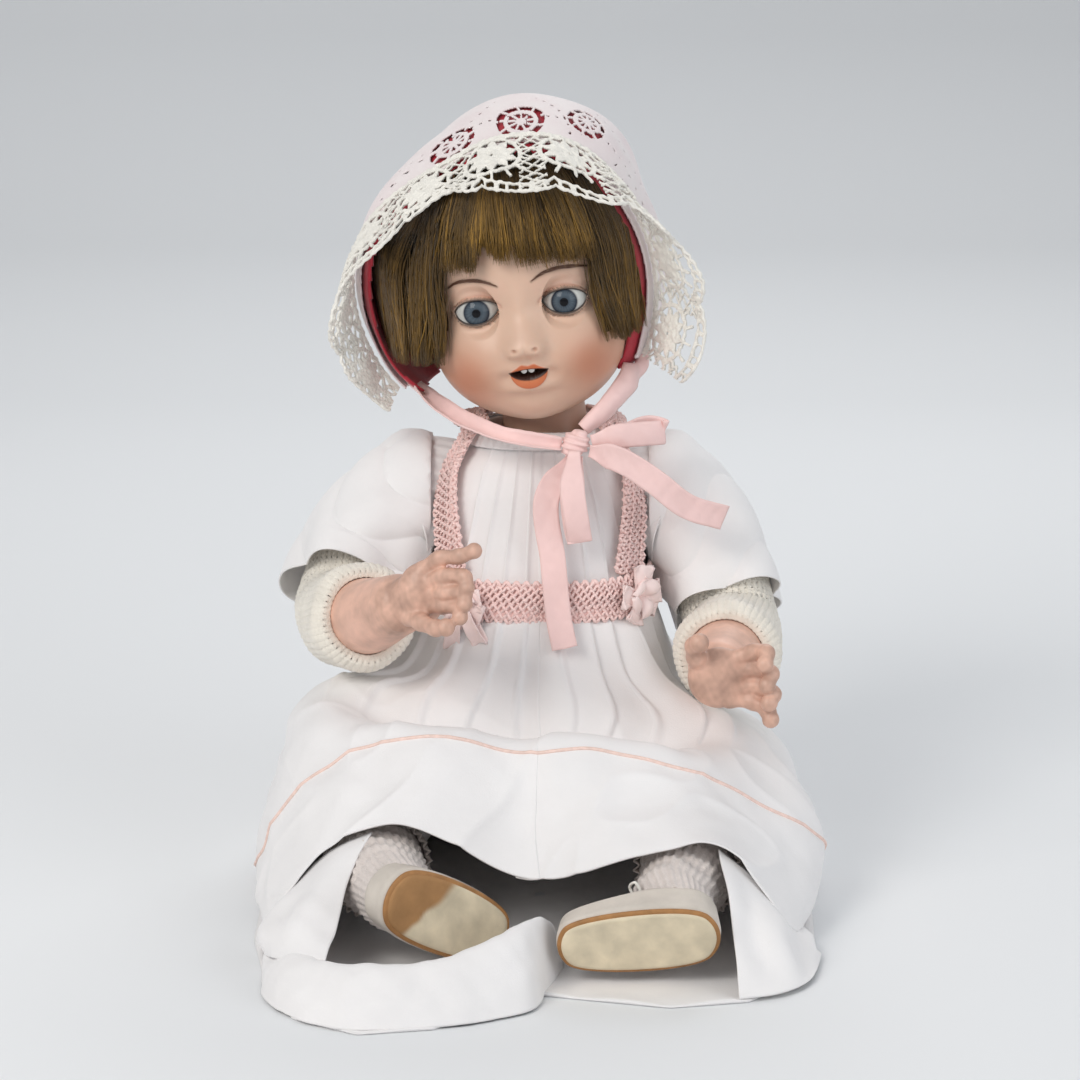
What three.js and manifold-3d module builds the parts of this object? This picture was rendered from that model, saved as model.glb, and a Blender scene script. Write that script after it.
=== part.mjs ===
// Sitting baby doll of about 1915: a bisque socket head with sleeping glass eyes, a strung
// five-piece composition body, and its clothes. Units are millimetres, +Z is up, the doll
// faces -Y and its left hand is on +X. The origin is on the ground, under the seat.
import * as THREE from "three";
import { mergeVertices } from "three/addons/utils/BufferGeometryUtils.js";
import Module from "manifold-3d";

const wasm = await Module();
wasm.setup();

// Driving dimensions: clearances and walls
const gap = 0.4; // between two pieces that rest on each other
const clothWall = 1.2;
const knitWall = 2.2;
const bisqueWall = 3.6;
const compositionWall = 4;
const leatherWall = 1.6;
const ribbonWall = 0.8;
const cordRadius = 1.3;

// Driving dimensions: body
const torsoFoot = 3.6; // underside of the torso above the ground
const torsoTop = 184;
const armholeRadius = 20.5;
const shoulder = new THREE.Vector3(41, 4, 162);
const hip = new THREE.Vector3(38, 2, 42);
const legholeRadius = 29;
const stringHole = 7;
const neckPivot = new THREE.Vector3(3.5, 3, 188);
const neckBall = 20.5;
const headTilt = 8; // degrees, towards the doll's right
const headTurn = 3; // degrees, towards the doll's right

// Driving dimensions: head, from the neck pivot
const skull = { centre: [0, 2, 82], semi: [52, 58, 61] };
const jaw = { centre: [0, -13, 49], semi: [43.5, 43, 36] };
const headCentre = new THREE.Vector3(0, -4, 70);
const eyeLevel = 68;
const eyeSpread = 19.3;
const eyeDepth = -40.5;
const eyeRadius = 11.2;
const eyeOpening = { width: 17.4, height: 10.4 };
const mouthLevel = 39.5;
const mouthOpening = { width: 15, height: 3.8 };
const crownCut = 118; // height of the open crown
const hairDepth = 7;

// Driving dimensions: clothes
const waist = 121; // top of the skirt
const waistBand = 17; // height of the braid round the waist
const braidWidth = 15;
const ribbonWidth = 11;
const frillWidth = 33;
const shoe = { length: 64, width: 34, sole: 2 };
const skirtWidth = 239; // spread of the hem from side to side
const legReach = 274; // from the middle of the body to the front of the hem

// Solids and booleans

const vec = (p) => (p.isVector3 ? p : new THREE.Vector3(...p));

function solidOf(geometry) {
  const plain = geometry.clone();
  plain.deleteAttribute("normal");
  plain.deleteAttribute("uv");
  const merged = mergeVertices(plain, 1e-3);
  return new wasm.Manifold(
    new wasm.Mesh({
      numProp: 3,
      vertProperties: merged.attributes.position.array,
      triVerts: new Uint32Array(merged.index.array),
    }),
  );
}

function geometryOf(solid) {
  const made = solid.getMesh();
  const points = new Float32Array(made.numVert * 3);
  for (let i = 0; i < made.numVert; i++) {
    for (let k = 0; k < 3; k++) points[i * 3 + k] = made.vertProperties[i * made.numProp + k];
  }
  const geometry = new THREE.BufferGeometry();
  geometry.setAttribute("position", new THREE.BufferAttribute(points, 3));
  geometry.setIndex(new THREE.BufferAttribute(made.triVerts, 1));
  return geometry;
}

const join = (...solids) => solids.reduce((all, one) => all.add(one));
const cut = (body, ...tools) => tools.reduce((left, tool) => left.subtract(tool), body);

// The largest body of a solid, without the crumbs that a cut can leave.
function largest(solid) {
  return solid.decompose().reduce((a, b) => (b.volume() > a.volume() ? b : a));
}

function ellipsoid(centre, semi, around = 20, rings = 12) {
  const ball = new THREE.SphereGeometry(1, around, rings).rotateX(Math.PI / 2);
  return solidOf(ball.scale(...semi).translate(...vec(centre).toArray()));
}

const ballAt = (centre, radius, around = 20, rings = 12) =>
  ellipsoid(centre, [radius, radius, radius], around, rings);

function cylinderAlong(axis, centre, radius, length, sides = 20) {
  const rod = new THREE.CylinderGeometry(radius, radius, length, sides);
  const turned = new THREE.Quaternion().setFromUnitVectors(
    new THREE.Vector3(0, 1, 0),
    vec(axis).clone().normalize(),
  );
  return solidOf(rod.applyQuaternion(turned).translate(...vec(centre).toArray()));
}

function boxBetween(low, high) {
  const [a, b] = [vec(low), vec(high)];
  const size = b.clone().sub(a);
  const middle = a.clone().add(b).multiplyScalar(0.5);
  return solidOf(new THREE.BoxGeometry(size.x, size.y, size.z).translate(...middle.toArray()));
}

// Closed surface over rings of points. A loop of rings is a shell open at both ends.
function loft(rings, loop = false) {
  const sides = rings[0].length;
  const points = rings.flat().map((p) => p.toArray());
  const faces = [];
  const count = rings.length;
  for (let i = 0; i < (loop ? count : count - 1); i++) {
    const next = (i + 1) % count;
    for (let k = 0; k < sides; k++) {
      const a = i * sides + k;
      const b = i * sides + ((k + 1) % sides);
      const c = next * sides + ((k + 1) % sides);
      const d = next * sides + k;
      const [pa, pb, pc, pd] = [rings[i][k], rings[i][(k + 1) % sides], rings[next][(k + 1) % sides], rings[next][k]];
      if (pa.distanceTo(pc) <= pb.distanceTo(pd)) faces.push([a, b, c], [a, c, d]);
      else faces.push([a, b, d], [b, c, d]);
    }
  }
  if (!loop) {
    for (const [ring, flip] of [[0, true], [count - 1, false]]) {
      const middle = rings[ring]
        .reduce((sum, p) => sum.add(p), new THREE.Vector3())
        .multiplyScalar(1 / sides);
      points.push(middle.toArray());
      for (let k = 0; k < sides; k++) {
        const a = ring * sides + k;
        const b = ring * sides + ((k + 1) % sides);
        faces.push(flip ? [points.length - 1, b, a] : [points.length - 1, a, b]);
      }
    }
  }
  return facingOut(points, faces);
}

// Geometry from points and triangles, turned so that its volume is positive.
function facingOut(points, faces) {
  let volume = 0;
  for (const [i, j, k] of faces) {
    const [a, b, c] = [points[i], points[j], points[k]].map((p) => new THREE.Vector3(...p));
    volume += a.dot(b.cross(c));
  }
  const turned = volume < 0 ? faces.map(([a, b, c]) => [a, c, b]) : faces;
  const geometry = new THREE.BufferGeometry();
  geometry.setAttribute("position", new THREE.Float32BufferAttribute(points.flat(), 3));
  geometry.setIndex(turned.flat());
  return geometry;
}

// Smooth interpolation of rows of numbers whose first column rises.
function profile(rows) {
  return (at) => {
    const last = rows.length - 1;
    let i = 0;
    while (i < last - 1 && rows[i + 1][0] < at) i++;
    const t = THREE.MathUtils.clamp((at - rows[i][0]) / (rows[i + 1][0] - rows[i][0]), 0, 1);
    const [before, from, to, after] = [Math.max(i - 1, 0), i, i + 1, Math.min(i + 2, last)];
    return rows[i].slice(1).map((_, k) => {
      const [p0, p1, p2, p3] = [before, from, to, after].map((r) => rows[r][k + 1]);
      const slopeIn = (p2 - p0) / 2;
      const slopeOut = (p3 - p1) / 2;
      const cubic = 2 * p1 - 2 * p2 + slopeIn + slopeOut;
      const square = -3 * p1 + 3 * p2 - 2 * slopeIn - slopeOut;
      return ((cubic * t + square) * t + slopeIn) * t + p1;
    });
  };
}

// A limb's line through its points, with a radius at each. The stretch runs in point numbers.
function limbLine(points, radii, aim) {
  const curve = new THREE.CatmullRomCurve3(points);
  const last = points.length - 1;
  const radiusAt = profile(radii.map((r, i) => [i, r]));
  const aimed = vec(aim).clone().normalize();
  return {
    last,
    station(u) {
      const t = THREE.MathUtils.clamp(u / last, 0, 1);
      const along = curve.getTangent(t);
      const side = aimed.clone().addScaledVector(along, -aimed.dot(along)).normalize();
      return { at: curve.getPoint(t), along, side, up: along.clone().cross(side), radius: radiusAt(u)[0] };
    },
  };
}

function limbRing(line, u, grow, sides, wave = () => 0) {
  const s = line.station(u);
  return Array.from({ length: sides }, (_, k) => {
    const angle = (k / sides) * 2 * Math.PI;
    const r = s.radius + grow + wave(angle, u);
    return s.at
      .clone()
      .addScaledVector(s.side, r * Math.cos(angle))
      .addScaledVector(s.up, r * Math.sin(angle));
  });
}

const steps = (from, to, count) =>
  Array.from({ length: count + 1 }, (_, i) => from + ((to - from) * i) / count);

// Solid limb with a rounded end.
function limb(line, from, to, grow, sides, count) {
  const rings = steps(from, to, count).map((u) => limbRing(line, u, grow, sides));
  const end = line.station(to);
  for (const [reach, share] of [[0.5, 0.86], [0.85, 0.5]]) {
    rings.push(
      limbRing(line, to, grow, sides).map((p) =>
        end.at.clone().lerp(p, share).addScaledVector(end.along, (end.radius + grow) * reach),
      ),
    );
  }
  return solidOf(loft(rings));
}

// Tube of cloth round a limb, from its inner growth to its wall.
function sleeve(line, from, to, grow, wall, sides, count, wave) {
  const at = steps(from, to, count);
  const outer = at.map((u) => limbRing(line, u, grow(u) + wall, sides, wave));
  const inner = at.map((u) => limbRing(line, u, grow(u), sides, wave));
  return loft([...outer, ...inner.reverse()], true);
}

// Sleeve with a rounded head over the shoulder, hollow down to its hem.
function headedSleeve(line, to, grow, wall, sides, count, wave) {
  const start = line.station(0);
  const end = line.station(to);
  const solid = (extra, past) => {
    const rings = steps(0, to, count).map((u) => limbRing(line, u, grow(u) + extra, sides, wave));
    const dome = [[0.93, 0.42], [0.75, 0.78], [0.5, 0.98]].map(([reach, share]) =>
      rings[0].map((p) =>
        start.at.clone().lerp(p, share).addScaledVector(start.along, -(start.radius + grow(0) + extra) * reach)),
    );
    if (past) rings.push(rings[rings.length - 1].map((p) => p.clone().addScaledVector(end.along, past)));
    return solidOf(loft([...dome, ...rings]));
  };
  return solid(wall, 0).subtract(solid(0, 2));
}

// Flat strip through stations of middle, half width and thickness directions.
function strip(stations, wall) {
  return loft(
    stations.map(({ at, half, face }) => {
      const thick = face.clone().normalize().multiplyScalar(wall / 2);
      return [
        at.clone().sub(half).sub(thick),
        at.clone().add(half).sub(thick),
        at.clone().add(half).add(thick),
        at.clone().sub(half).add(thick),
      ];
    }),
  );
}

// Ribbon along points: its face turns with the line, and its width lies across it.
function ribbon(points, across, width, wall, count) {
  const curve = new THREE.CatmullRomCurve3(points.map(vec));
  const cross = new THREE.CatmullRomCurve3(across.map(vec));
  return strip(
    steps(0, 1, count).map((t) => {
      const along = curve.getTangent(t);
      const half = cross.getPoint(t).normalize();
      half.addScaledVector(along, -half.dot(along)).normalize();
      return { at: curve.getPoint(t), half: half.clone().multiplyScalar(width / 2), face: along.cross(half) };
    }),
    wall,
  );
}

// Sheet over a grid of points, given a wall along its normals.
function sheet(grid, wall, floor = -Infinity) {
  const rows = grid.length;
  const columns = grid[0].length;
  const normal = (i, j) => {
    const down = grid[Math.min(i + 1, rows - 1)][j].clone().sub(grid[Math.max(i - 1, 0)][j]);
    const over = grid[i][Math.min(j + 1, columns - 1)].clone().sub(grid[i][Math.max(j - 1, 0)]);
    return down.cross(over).normalize();
  };
  const lower = grid.map((row) => row.map((p) => new THREE.Vector3(p.x, p.y, Math.max(p.z, floor))));
  const upper = lower.map((row, i) =>
    row.map((p, j) => {
      const over = p.clone().addScaledVector(normal(i, j), wall);
      return over.setZ(Math.max(over.z, floor));
    }),
  );
  const points = [...lower.flat(), ...upper.flat()].map((p) => p.toArray());
  const top = rows * columns;
  const faces = [];
  const quad = (a, b, c, d) => faces.push([a, b, c], [a, c, d]);
  for (let i = 0; i < rows - 1; i++) {
    for (let j = 0; j < columns - 1; j++) {
      const a = i * columns + j;
      quad(a, a + 1, a + columns + 1, a + columns);
      quad(top + a, top + a + columns, top + a + columns + 1, top + a + 1);
    }
    const left = i * columns;
    const right = left + columns - 1;
    quad(left, left + columns, top + left + columns, top + left);
    quad(right, top + right, top + right + columns, right + columns);
  }
  for (let j = 0; j < columns - 1; j++) {
    const end = (rows - 1) * columns + j;
    quad(j, top + j, top + j + 1, j + 1);
    quad(end, end + 1, top + end + 1, top + end);
  }
  return facingOut(points, faces);
}

// Smooth grid through a coarse one of hand-set points.
function smoothGrid(coarse, rowCount, columnCount) {
  const lines = coarse.map((row) => new THREE.CatmullRomCurve3(row.map(vec), false, "centripetal"));
  const columns = steps(0, 1, columnCount).map(
    (t) => new THREE.CatmullRomCurve3(lines.map((line) => line.getPoint(t)), false, "centripetal"),
  );
  return steps(0, 1, rowCount).map((t) => columns.map((column) => column.getPoint(t)));
}

// Assembly

const doll = new THREE.Group();
const headGroup = new THREE.Group();
headGroup.position.copy(neckPivot);
headGroup.rotation.set(0, THREE.MathUtils.degToRad(-headTilt), 0);
const faceGroup = new THREE.Group();
faceGroup.rotation.set(0, 0, THREE.MathUtils.degToRad(-headTurn));
headGroup.add(faceGroup);
doll.add(headGroup);

const finish = (color, roughness, metalness = 0) =>
  new THREE.MeshStandardMaterial({ color, roughness, metalness });
const bisque = finish(0xdbb5a0, 0.45);
const glassBlue = finish(0x5a6b80, 0.05);
const enamel = finish(0xf4f0ea, 0.2);
const mouthRed = finish(0x7a2a20, 0.6);
const card = finish(0xb9a27c, 0.9);
const hairBrown = finish(0x5a3d12, 0.7);
const wire = finish(0x8d8b86, 0.35, 1);
const lead = finish(0x5f6266, 0.5, 1);
const wood = finish(0xb08a5a, 0.7);
const elastic = finish(0xd9d4c6, 0.9);
const composition = finish(0xd9a88c, 0.5);
const whiteCotton = finish(0xeeebe9, 0.9);
const cream = finish(0xe6dfcf, 0.95);
const lace = finish(0xeae4da, 0.95);
const redCloth = finish(0xa01424, 0.8);
const pinkRibbon = finish(0xf2cfc8, 0.5);
const pinkBraid = finish(0xe6b3ad, 0.9);
const shoeLeather = finish(0xd2cabd, 0.6);
const soleLeather = finish(0xcdb88f, 0.8);
const pearl = finish(0xe9e4dc, 0.3);

function place(name, shape, material, parent = doll) {
  const geometry = shape.isBufferGeometry ? shape : geometryOf(shape);
  const mesh = new THREE.Mesh(geometry, material);
  mesh.name = name;
  parent.add(mesh);
  return mesh;
}

// Head shell. Its surface is the smooth union of a skull and a jaw, with the features on it.

function rayToEllipsoid(direction, { centre, semi }, grow) {
  const s = new THREE.Vector3(...semi).addScalar(grow);
  const offset = headCentre.clone().sub(vec(centre)).divide(s);
  const d = direction.clone().divide(s);
  const a = d.dot(d);
  const b = offset.dot(d);
  return (-b + Math.sqrt(b * b - a * (offset.dot(offset) - 1))) / a;
}

// Features of the face: middle x and z, spread in x and z, and height.
const features = [
  [0, 64, 5, 11, 2.6], // bridge
  [0, 55, 5.2, 5.5, 7.4], // nose tip
  [5.6, 52.6, 3.2, 3, 3.4], // nostril wings
  [18, 46, 14, 12, 4.2], // cheeks
  [19.3, 68, 10.5, 7, -3.4], // eye sockets
  [0, 45.4, 7.5, 2.6, 2.6], // upper lip
  [0, 35.6, 6.5, 2.8, 3.2], // lower lip
  [9.5, 39.5, 2.4, 2.4, -1.6], // mouth corners
  [0, 31.2, 8, 2, -1.2], // fold under the lip
  [0, 23, 10, 7, 4.4], // chin
  [0, 92, 34, 18, 1.6], // forehead
];

function faceRelief(x, z) {
  return features.reduce((sum, [fx, fz, sx, sz, height]) => {
    const reach = (Math.abs(x) - fx) ** 2 / (2 * sx * sx) + (z - fz) ** 2 / (2 * sz * sz);
    return sum + height * Math.exp(-reach);
  }, 0);
}

function headSurface(direction, grow = 0) {
  const [a, b] = [skull, jaw].map((part) => rayToEllipsoid(direction, part, grow));
  const blend = 7;
  const h = Math.max(blend - Math.abs(a - b), 0) / blend;
  const r = Math.max(a, b) + (h * h * blend) / 4;
  const front = THREE.MathUtils.smoothstep(-direction.y, 0.15, 0.6);
  const p = headCentre.clone().addScaledVector(direction, r);
  return headCentre.clone().addScaledVector(direction, r + front * faceRelief(p.x, p.z));
}

// Grid of directions, closer together over the face.
function headGrid(around, rings, surface) {
  const made = [];
  for (let i = 1; i < rings; i++) {
    const polar = (i / rings) * Math.PI;
    made.push(
      Array.from({ length: around }, (_, k) => {
        const turn = (k / around) * 2 * Math.PI;
        const angle = turn - 0.42 * Math.sin(turn);
        const direction = new THREE.Vector3(
          Math.sin(polar) * Math.sin(angle),
          -Math.sin(polar) * Math.cos(angle),
          Math.cos(polar),
        );
        return surface(direction);
      }),
    );
  }
  return solidOf(loft(made));
}

// Almond cutter through the face, as wide and high as the opening.
function almond(x, z, width, height, back, front, lift = 0) {
  const outline = new THREE.Shape();
  outline.moveTo(-width / 2, -lift);
  outline.bezierCurveTo(-width / 4, height * 0.66, width / 4, height * 0.66, width / 2, lift);
  outline.bezierCurveTo(width / 4, -height * 0.66, -width / 4, -height * 0.66, -width / 2, -lift);
  const block = new THREE.ExtrudeGeometry(outline, {
    depth: front - back,
    bevelEnabled: false,
    curveSegments: 5,
  });
  return solidOf(block.rotateX(Math.PI / 2).translate(x, -back, z));
}

const eyeCentre = (side) => new THREE.Vector3(side * eyeSpread, eyeDepth, eyeLevel);
function headShell() {
  const outer = headGrid(24, 15, (d) => headSurface(d));
  const inner = headGrid(10, 8, (d) =>
    headCentre.clone().addScaledVector(d, headSurface(d, -bisqueWall).distanceTo(headCentre)),
  );
  const neckStem = cylinderAlong([0, 0, 1], [0, 0, 14], neckBall - 1.5, 28, 16);
  const neckEnd = ballAt([0, 0, 0], neckBall, 16, 8);
  const neckHollow = join(
    cylinderAlong([0, 0, 1], [0, 0, 18], neckBall - 1.5 - bisqueWall, 36, 10),
    ballAt([0, 0, 0], neckBall - bisqueWall, 12, 7),
  );
  const pockets = [-1, 1].map((side) => ballAt(eyeCentre(side), eyeRadius + gap, 12, 8));
  const stringWay = cylinderAlong([0, 0, 1], [0, 0, -neckBall], stringHole, neckBall, 16);
  const openCrown = boxBetween([-80, -80, crownCut], [80, 80, 200]);
  const eyes = [-1, 1].map((side) =>
    almond(side * eyeSpread, eyeLevel, eyeOpening.width, eyeOpening.height, 25, 80, side * 0.5),
  );
  const mouth = almond(0, mouthLevel, mouthOpening.width, mouthOpening.height, 25, 80);
  return largest(
    cut(join(outer, neckStem, neckEnd), inner, neckHollow, stringWay, openCrown, ...pockets, ...eyes, mouth),
  );
}

place("bisque_head", headShell(), bisque, faceGroup);

// Pate: a card dome in the open crown, held by its rim on the bisque.
function pate() {
  const dome = (grow) => ellipsoid(skull.centre, skull.semi.map((s, i) => s + grow - (i === 2 ? 4.5 : 0)), 12, 8);
  const over = boxBetween([-80, -80, crownCut + gap], [80, 80, 200]);
  return dome(0).subtract(dome(-1.8)).intersect(over);
}
place("crown_pate", pate(), card, faceGroup);

// Sleeping eyes: two glass globes on a wire yoke, closed by a lead weight that swings behind.
const eyeGroup = new THREE.Group();
faceGroup.add(eyeGroup);
const stemRadius = 2.4;
for (const side of [1, -1]) {
  const globe = ballAt(eyeCentre(side), eyeRadius - 0.1, 10, 7);
  const stem = cylinderAlong([0, 1, 0], eyeCentre(side).add(new THREE.Vector3(0, eyeRadius, 0)), stemRadius, 5, 8);
  place(side > 0 ? "left_glass_eye" : "right_glass_eye", join(globe, stem), glassBlue, eyeGroup);
}
const yokeY = eyeDepth + eyeRadius + 5;
const weightDrop = 26;
function eyeYoke() {
  const bar = cylinderAlong([1, 0, 0], [0, yokeY, eyeLevel], 1.4, 2 * eyeSpread + 6, 6);
  const cups = [-1, 1].map((side) =>
    cylinderAlong([0, 1, 0], [side * eyeSpread, yokeY - 1.5, eyeLevel], stemRadius + 1.6, 5, 8).subtract(
      cylinderAlong([0, 1, 0], [side * eyeSpread, yokeY - 3.2, eyeLevel], stemRadius + gap, 6, 8),
    ),
  );
  const arm = cylinderAlong([0, 0.25, -1], [0, yokeY + 2.6, eyeLevel - 10], 1.4, 22, 6);
  return join(bar, ...cups, arm);
}
place("eye_yoke", eyeYoke(), wire, eyeGroup);
const weightAt = [0, yokeY + 6, eyeLevel - weightDrop];
function eyeWeight() {
  const lump = ellipsoid(weightAt, [8, 6, 6.5], 8, 5);
  return lump.subtract(cylinderAlong([0, 0.25, -1], [0, yokeY + 2.6, eyeLevel - 10], 1.4 + gap, 23, 6));
}
place("eye_weight", eyeWeight(), lead, eyeGroup);

// Mouth: two upper teeth on a strip, and a felt tongue on the floor of the mouth.
function teeth() {
  const row = [-1, 1].map((side) => ellipsoid([side * 1.75, -51.5, mouthLevel + 1.6], [1.7, 1.2, 2], 6, 4));
  const back = boxBetween([-5, -50.8, mouthLevel + 0.6], [5, -49.4, mouthLevel + 3.4]);
  return join(...row, back);
}
place("upper_teeth", teeth().translate(0, -2, 0.3), enamel, faceGroup);
place("tongue", ellipsoid([0, -44, mouthLevel - 4.4], [6, 7, 2.6], 8, 5), mouthRed, faceGroup);

// Neck plug and hook, which string the head to the body.
const neckGroup = new THREE.Group();
neckGroup.position.copy(neckPivot);
doll.add(neckGroup);
function neckButton() {
  const seat = neckBall - bisqueWall - gap * 2.5;
  const bowl = ballAt([0, 0, 0], seat, 16, 10).intersect(boxBetween([-30, -30, -30], [30, 30, -6]));
  return bowl.subtract(cylinderAlong([0, 0, 1], [0, 0, -12], 1.6 + gap, 30, 8));
}
place("neck_plug", neckButton(), wood, neckGroup);
function neckHook() {
  const eye = new THREE.TorusGeometry(5, 1.5, 6, 12).rotateY(Math.PI / 2).translate(0, 0, -36);
  const shank = cylinderAlong([0, 0, 1], [0, 0, -17.5], 1.5, 28, 8);
  const nut = cylinderAlong([0, 0, 1], [0, 0, -4.2], 5, 2.8, 12);
  return join(solidOf(eye), shank, nut);
}
place("neck_hook", neckHook(), wire, neckGroup);

const capCentre = [-2, 6, 79];
const capSemi = [skull.semi[0] + hairDepth + 3, skull.semi[1] + hairDepth + 1, skull.semi[2] + hairDepth + 5];
const openingAt = (z) => -15 - 0.17 * (z - 20);

// The bonnet's crown leans to the doll's left, and its opening stands off the head on the right.
const crownLean = 9;
const standOff = 13;
function bonnetShift(x, y, z) {
  const { smoothstep } = THREE.MathUtils;
  const lean = crownLean * smoothstep(z, capCentre[2] + 20, capCentre[2] + capSemi[2]);
  return lean - standOff * smoothstep(-x, 25, 55) * smoothstep(-y, -10, 25);
}
function bonnetForm(grow) {
  const semi = capSemi.map((s) => s + grow);
  const ball = new THREE.SphereGeometry(1, 14, 8).rotateX(Math.PI / 2).scale(...semi).translate(...capCentre);
  const points = ball.getAttribute("position");
  for (let i = 0; i < points.count; i++) {
    const [x, y, z] = [points.getX(i), points.getY(i), points.getZ(i)];
    points.setX(i, x + bonnetShift(x, y, z));
  }
  return solidOf(ball);
}

// Bonnet: a red lining and a white cap outside it, cut by the slanted plane of the face opening.
function capShell(from, wall, foot, ahead = 0) {
  const outer = bonnetForm(from + wall);
  const inner = bonnetForm(from);
  const front = new THREE.Shape();
  front.moveTo(openingAt(foot) - ahead, foot);
  front.lineTo(openingAt(180) - ahead, 180);
  front.lineTo(120, 180);
  front.lineTo(120, foot + 8);
  const kept = solidOf(
    new THREE.ExtrudeGeometry(front, { depth: 200, bevelEnabled: false })
      .applyMatrix4(new THREE.Matrix4().makeBasis(
        new THREE.Vector3(0, 1, 0), new THREE.Vector3(0, 0, 1), new THREE.Vector3(1, 0, 0)))
      .translate(-100, 0, 0),
  );
  return largest(outer.subtract(inner).intersect(kept));
}
const liningFoot = 34;
place("bonnet_lining", capShell(gap, clothWall, liningFoot), redCloth, faceGroup);
place("bonnet_cap", capShell(gap * 2 + clothWall, clothWall + 0.4, liningFoot + 2), lace, faceGroup);

// Lace frill round the face opening: scalloped, turned forward over the hair and out at the sides.
const frillSpan = 128; // degrees each way from the top
const scallops = 9;
function frillEdge(angle, reach) {
  const sine = Math.sin(angle);
  const cosine = Math.cos(angle);
  const grow = 2 * gap + 2 * clothWall + 1.6;
  let narrow = 0.9;
  let z = 0;
  for (let pass = 0; pass < 4; pass++) {
    z = capCentre[2] + (capSemi[2] + grow) * cosine * narrow;
    narrow = Math.sqrt(1 - ((openingAt(z) - capCentre[1]) / (capSemi[1] + grow)) ** 2);
  }
  const x = capCentre[0] + (capSemi[0] + grow) * sine * narrow;
  const top = Math.max(cosine, 0);
  const spread = sine > 0 ? 0.5 : 0.8; // it hangs closer to the head on the doll's left
  const out = new THREE.Vector3(spread * sine, -0.55 - 0.3 * top, -0.62 * top - 0.25 * (1 - top));
  const y = openingAt(z) - 1;
  return new THREE.Vector3(x + bonnetShift(x, y, z), y, z).addScaledVector(out.normalize(), reach);
}
function frill(wall) {
  const count = 25;
  const rows = 2;
  const grid = steps(0, 1, count).map((t) => {
    const angle = THREE.MathUtils.degToRad(-frillSpan + 2 * frillSpan * t);
    const scallop = Math.abs(Math.sin(t * Math.PI * scallops));
    const ruffle = Math.sin(t * Math.PI * scallops * 2);
    return steps(0, 1, rows).map((v) => {
      const p = frillEdge(angle, v * (frillWidth - 6 + 6 * scallop));
      return p.add(new THREE.Vector3(0, 2.2 * v * ruffle, 0));
    });
  });
  return sheet(grid, wall);
}
const frillWall = 1.4;
place("bonnet_frill", frill(frillWall), lace, faceGroup);

// Wig: a cap of hair with a fringe over the brow and a lock on each side of the face.
const hairFringe = 88;
const lockFoot = 40;
const napeFoot = 22;
function wig() {
  const [across, ahead, tall] = skull.semi;
  const cap = ellipsoid([-2, 0, 83], [across + hairDepth + 2, ahead + hairDepth + 4, tall + hairDepth - 1], 12, 8);
  const locks = [-1, 1].map((side) => ellipsoid([side * 44.5, -19, 68], [10, 24, 34], 7, 5));
  const head = headGrid(14, 9, (d) => headSurface(d, 5.4));
  const face = new THREE.Shape();
  face.moveTo(-36, -30);
  face.lineTo(-38, lockFoot);
  face.quadraticCurveTo(-37, hairFringe - 8, -30, hairFringe - 3);
  face.quadraticCurveTo(0, hairFringe + 5, 30, hairFringe - 3);
  face.quadraticCurveTo(37, hairFringe - 8, 38, lockFoot);
  face.lineTo(36, -30);
  const window = solidOf(
    new THREE.ExtrudeGeometry(face, { depth: 100, bevelEnabled: false, curveSegments: 6 })
      .rotateX(Math.PI / 2),
  );
  const below = join(
    boxBetween([-90, -90, -20], [90, -4, lockFoot]),
    boxBetween([-90, -90, -20], [90, 90, napeFoot]),
  );
  const underBonnet = capShell(0, 14, 20, gap);
  const underFrill = solidOf(frill(frillWall + 2 * gap));
  return largest(cut(join(cap, ...locks), head, window, below, underBonnet, underFrill));
}
place("wig", wig(), hairBrown, faceGroup);

// Ribbons: a tie from each side of the bonnet to a bow under the chin. Points are from the neck pivot.
const knotAt = [13, -46, 3.5];
const knotSemi = [6.5, 5, 6];
place("bow_knot", ellipsoid(knotAt, knotSemi, 10, 6), pinkRibbon, headGroup);
const upwards = [0, 0, 1];
const acrossX = [1, 0, 0];
const tieTop = liningFoot - gap - 0.3;
function tie(side) {
  const start = new THREE.Vector3(side > 0 ? 46 : -58, -12, tieTop).applyEuler(faceGroup.rotation);
  const path = side > 0
    ? [start, [42, -30, 27], [32, -40.5, 18], [17.3, -45, 8.55]]
    : [start, [-42, -32, 21], [-20, -46, 10], [6.3, -47, 3]];
  return ribbon(path, [[0, 1, 0], [0, 0.6, 0.8], upwards, upwards], ribbonWidth * 0.7, ribbonWall, 8);
}
place("left_ribbon_tie", tie(1), pinkRibbon, headGroup);
place("right_ribbon_tie", tie(-1), pinkRibbon, headGroup);
const loopDown = [
  [13, -51, -1.6], [9, -57, -14], [8, -60, -30], [9, -63, -38], [9, -66, -30], [9, -64, -13], [12, -55, 2],
];
place("bow_loop_down", ribbon(loopDown, [acrossX, acrossX], ribbonWidth, ribbonWall, 14), pinkRibbon, headGroup);
const loopOut = [
  [21.6, -47, -1.5], [32, -48.6, 3], [46, -46, 6], [53, -46, 3], [45, -50.5, 4], [32, -52.5, 5], [20, -50, 4],
];
place("bow_loop_out", ribbon(loopOut, [upwards, upwards], ribbonWidth, ribbonWall, 14), pinkRibbon, headGroup);
const tailDown = [[10.5, -47, -2.9], [-3, -55.8, -18], [-4, -62.5, -45], [-5, -66, -70], [-4, -73.6, -82.4]];
place("bow_tail_down", ribbon(tailDown, [acrossX, acrossX], ribbonWidth, ribbonWall, 10), pinkRibbon, headGroup);
const tailOut = [[19, -50.5, 0], [32, -57, -5], [45, -58, -16], [58, -54, -30], [74, -47, -39]];
const tailTurns = [[0, 0, 1], [0.5, 0, 1], [0.6, 0, 1]];
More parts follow.
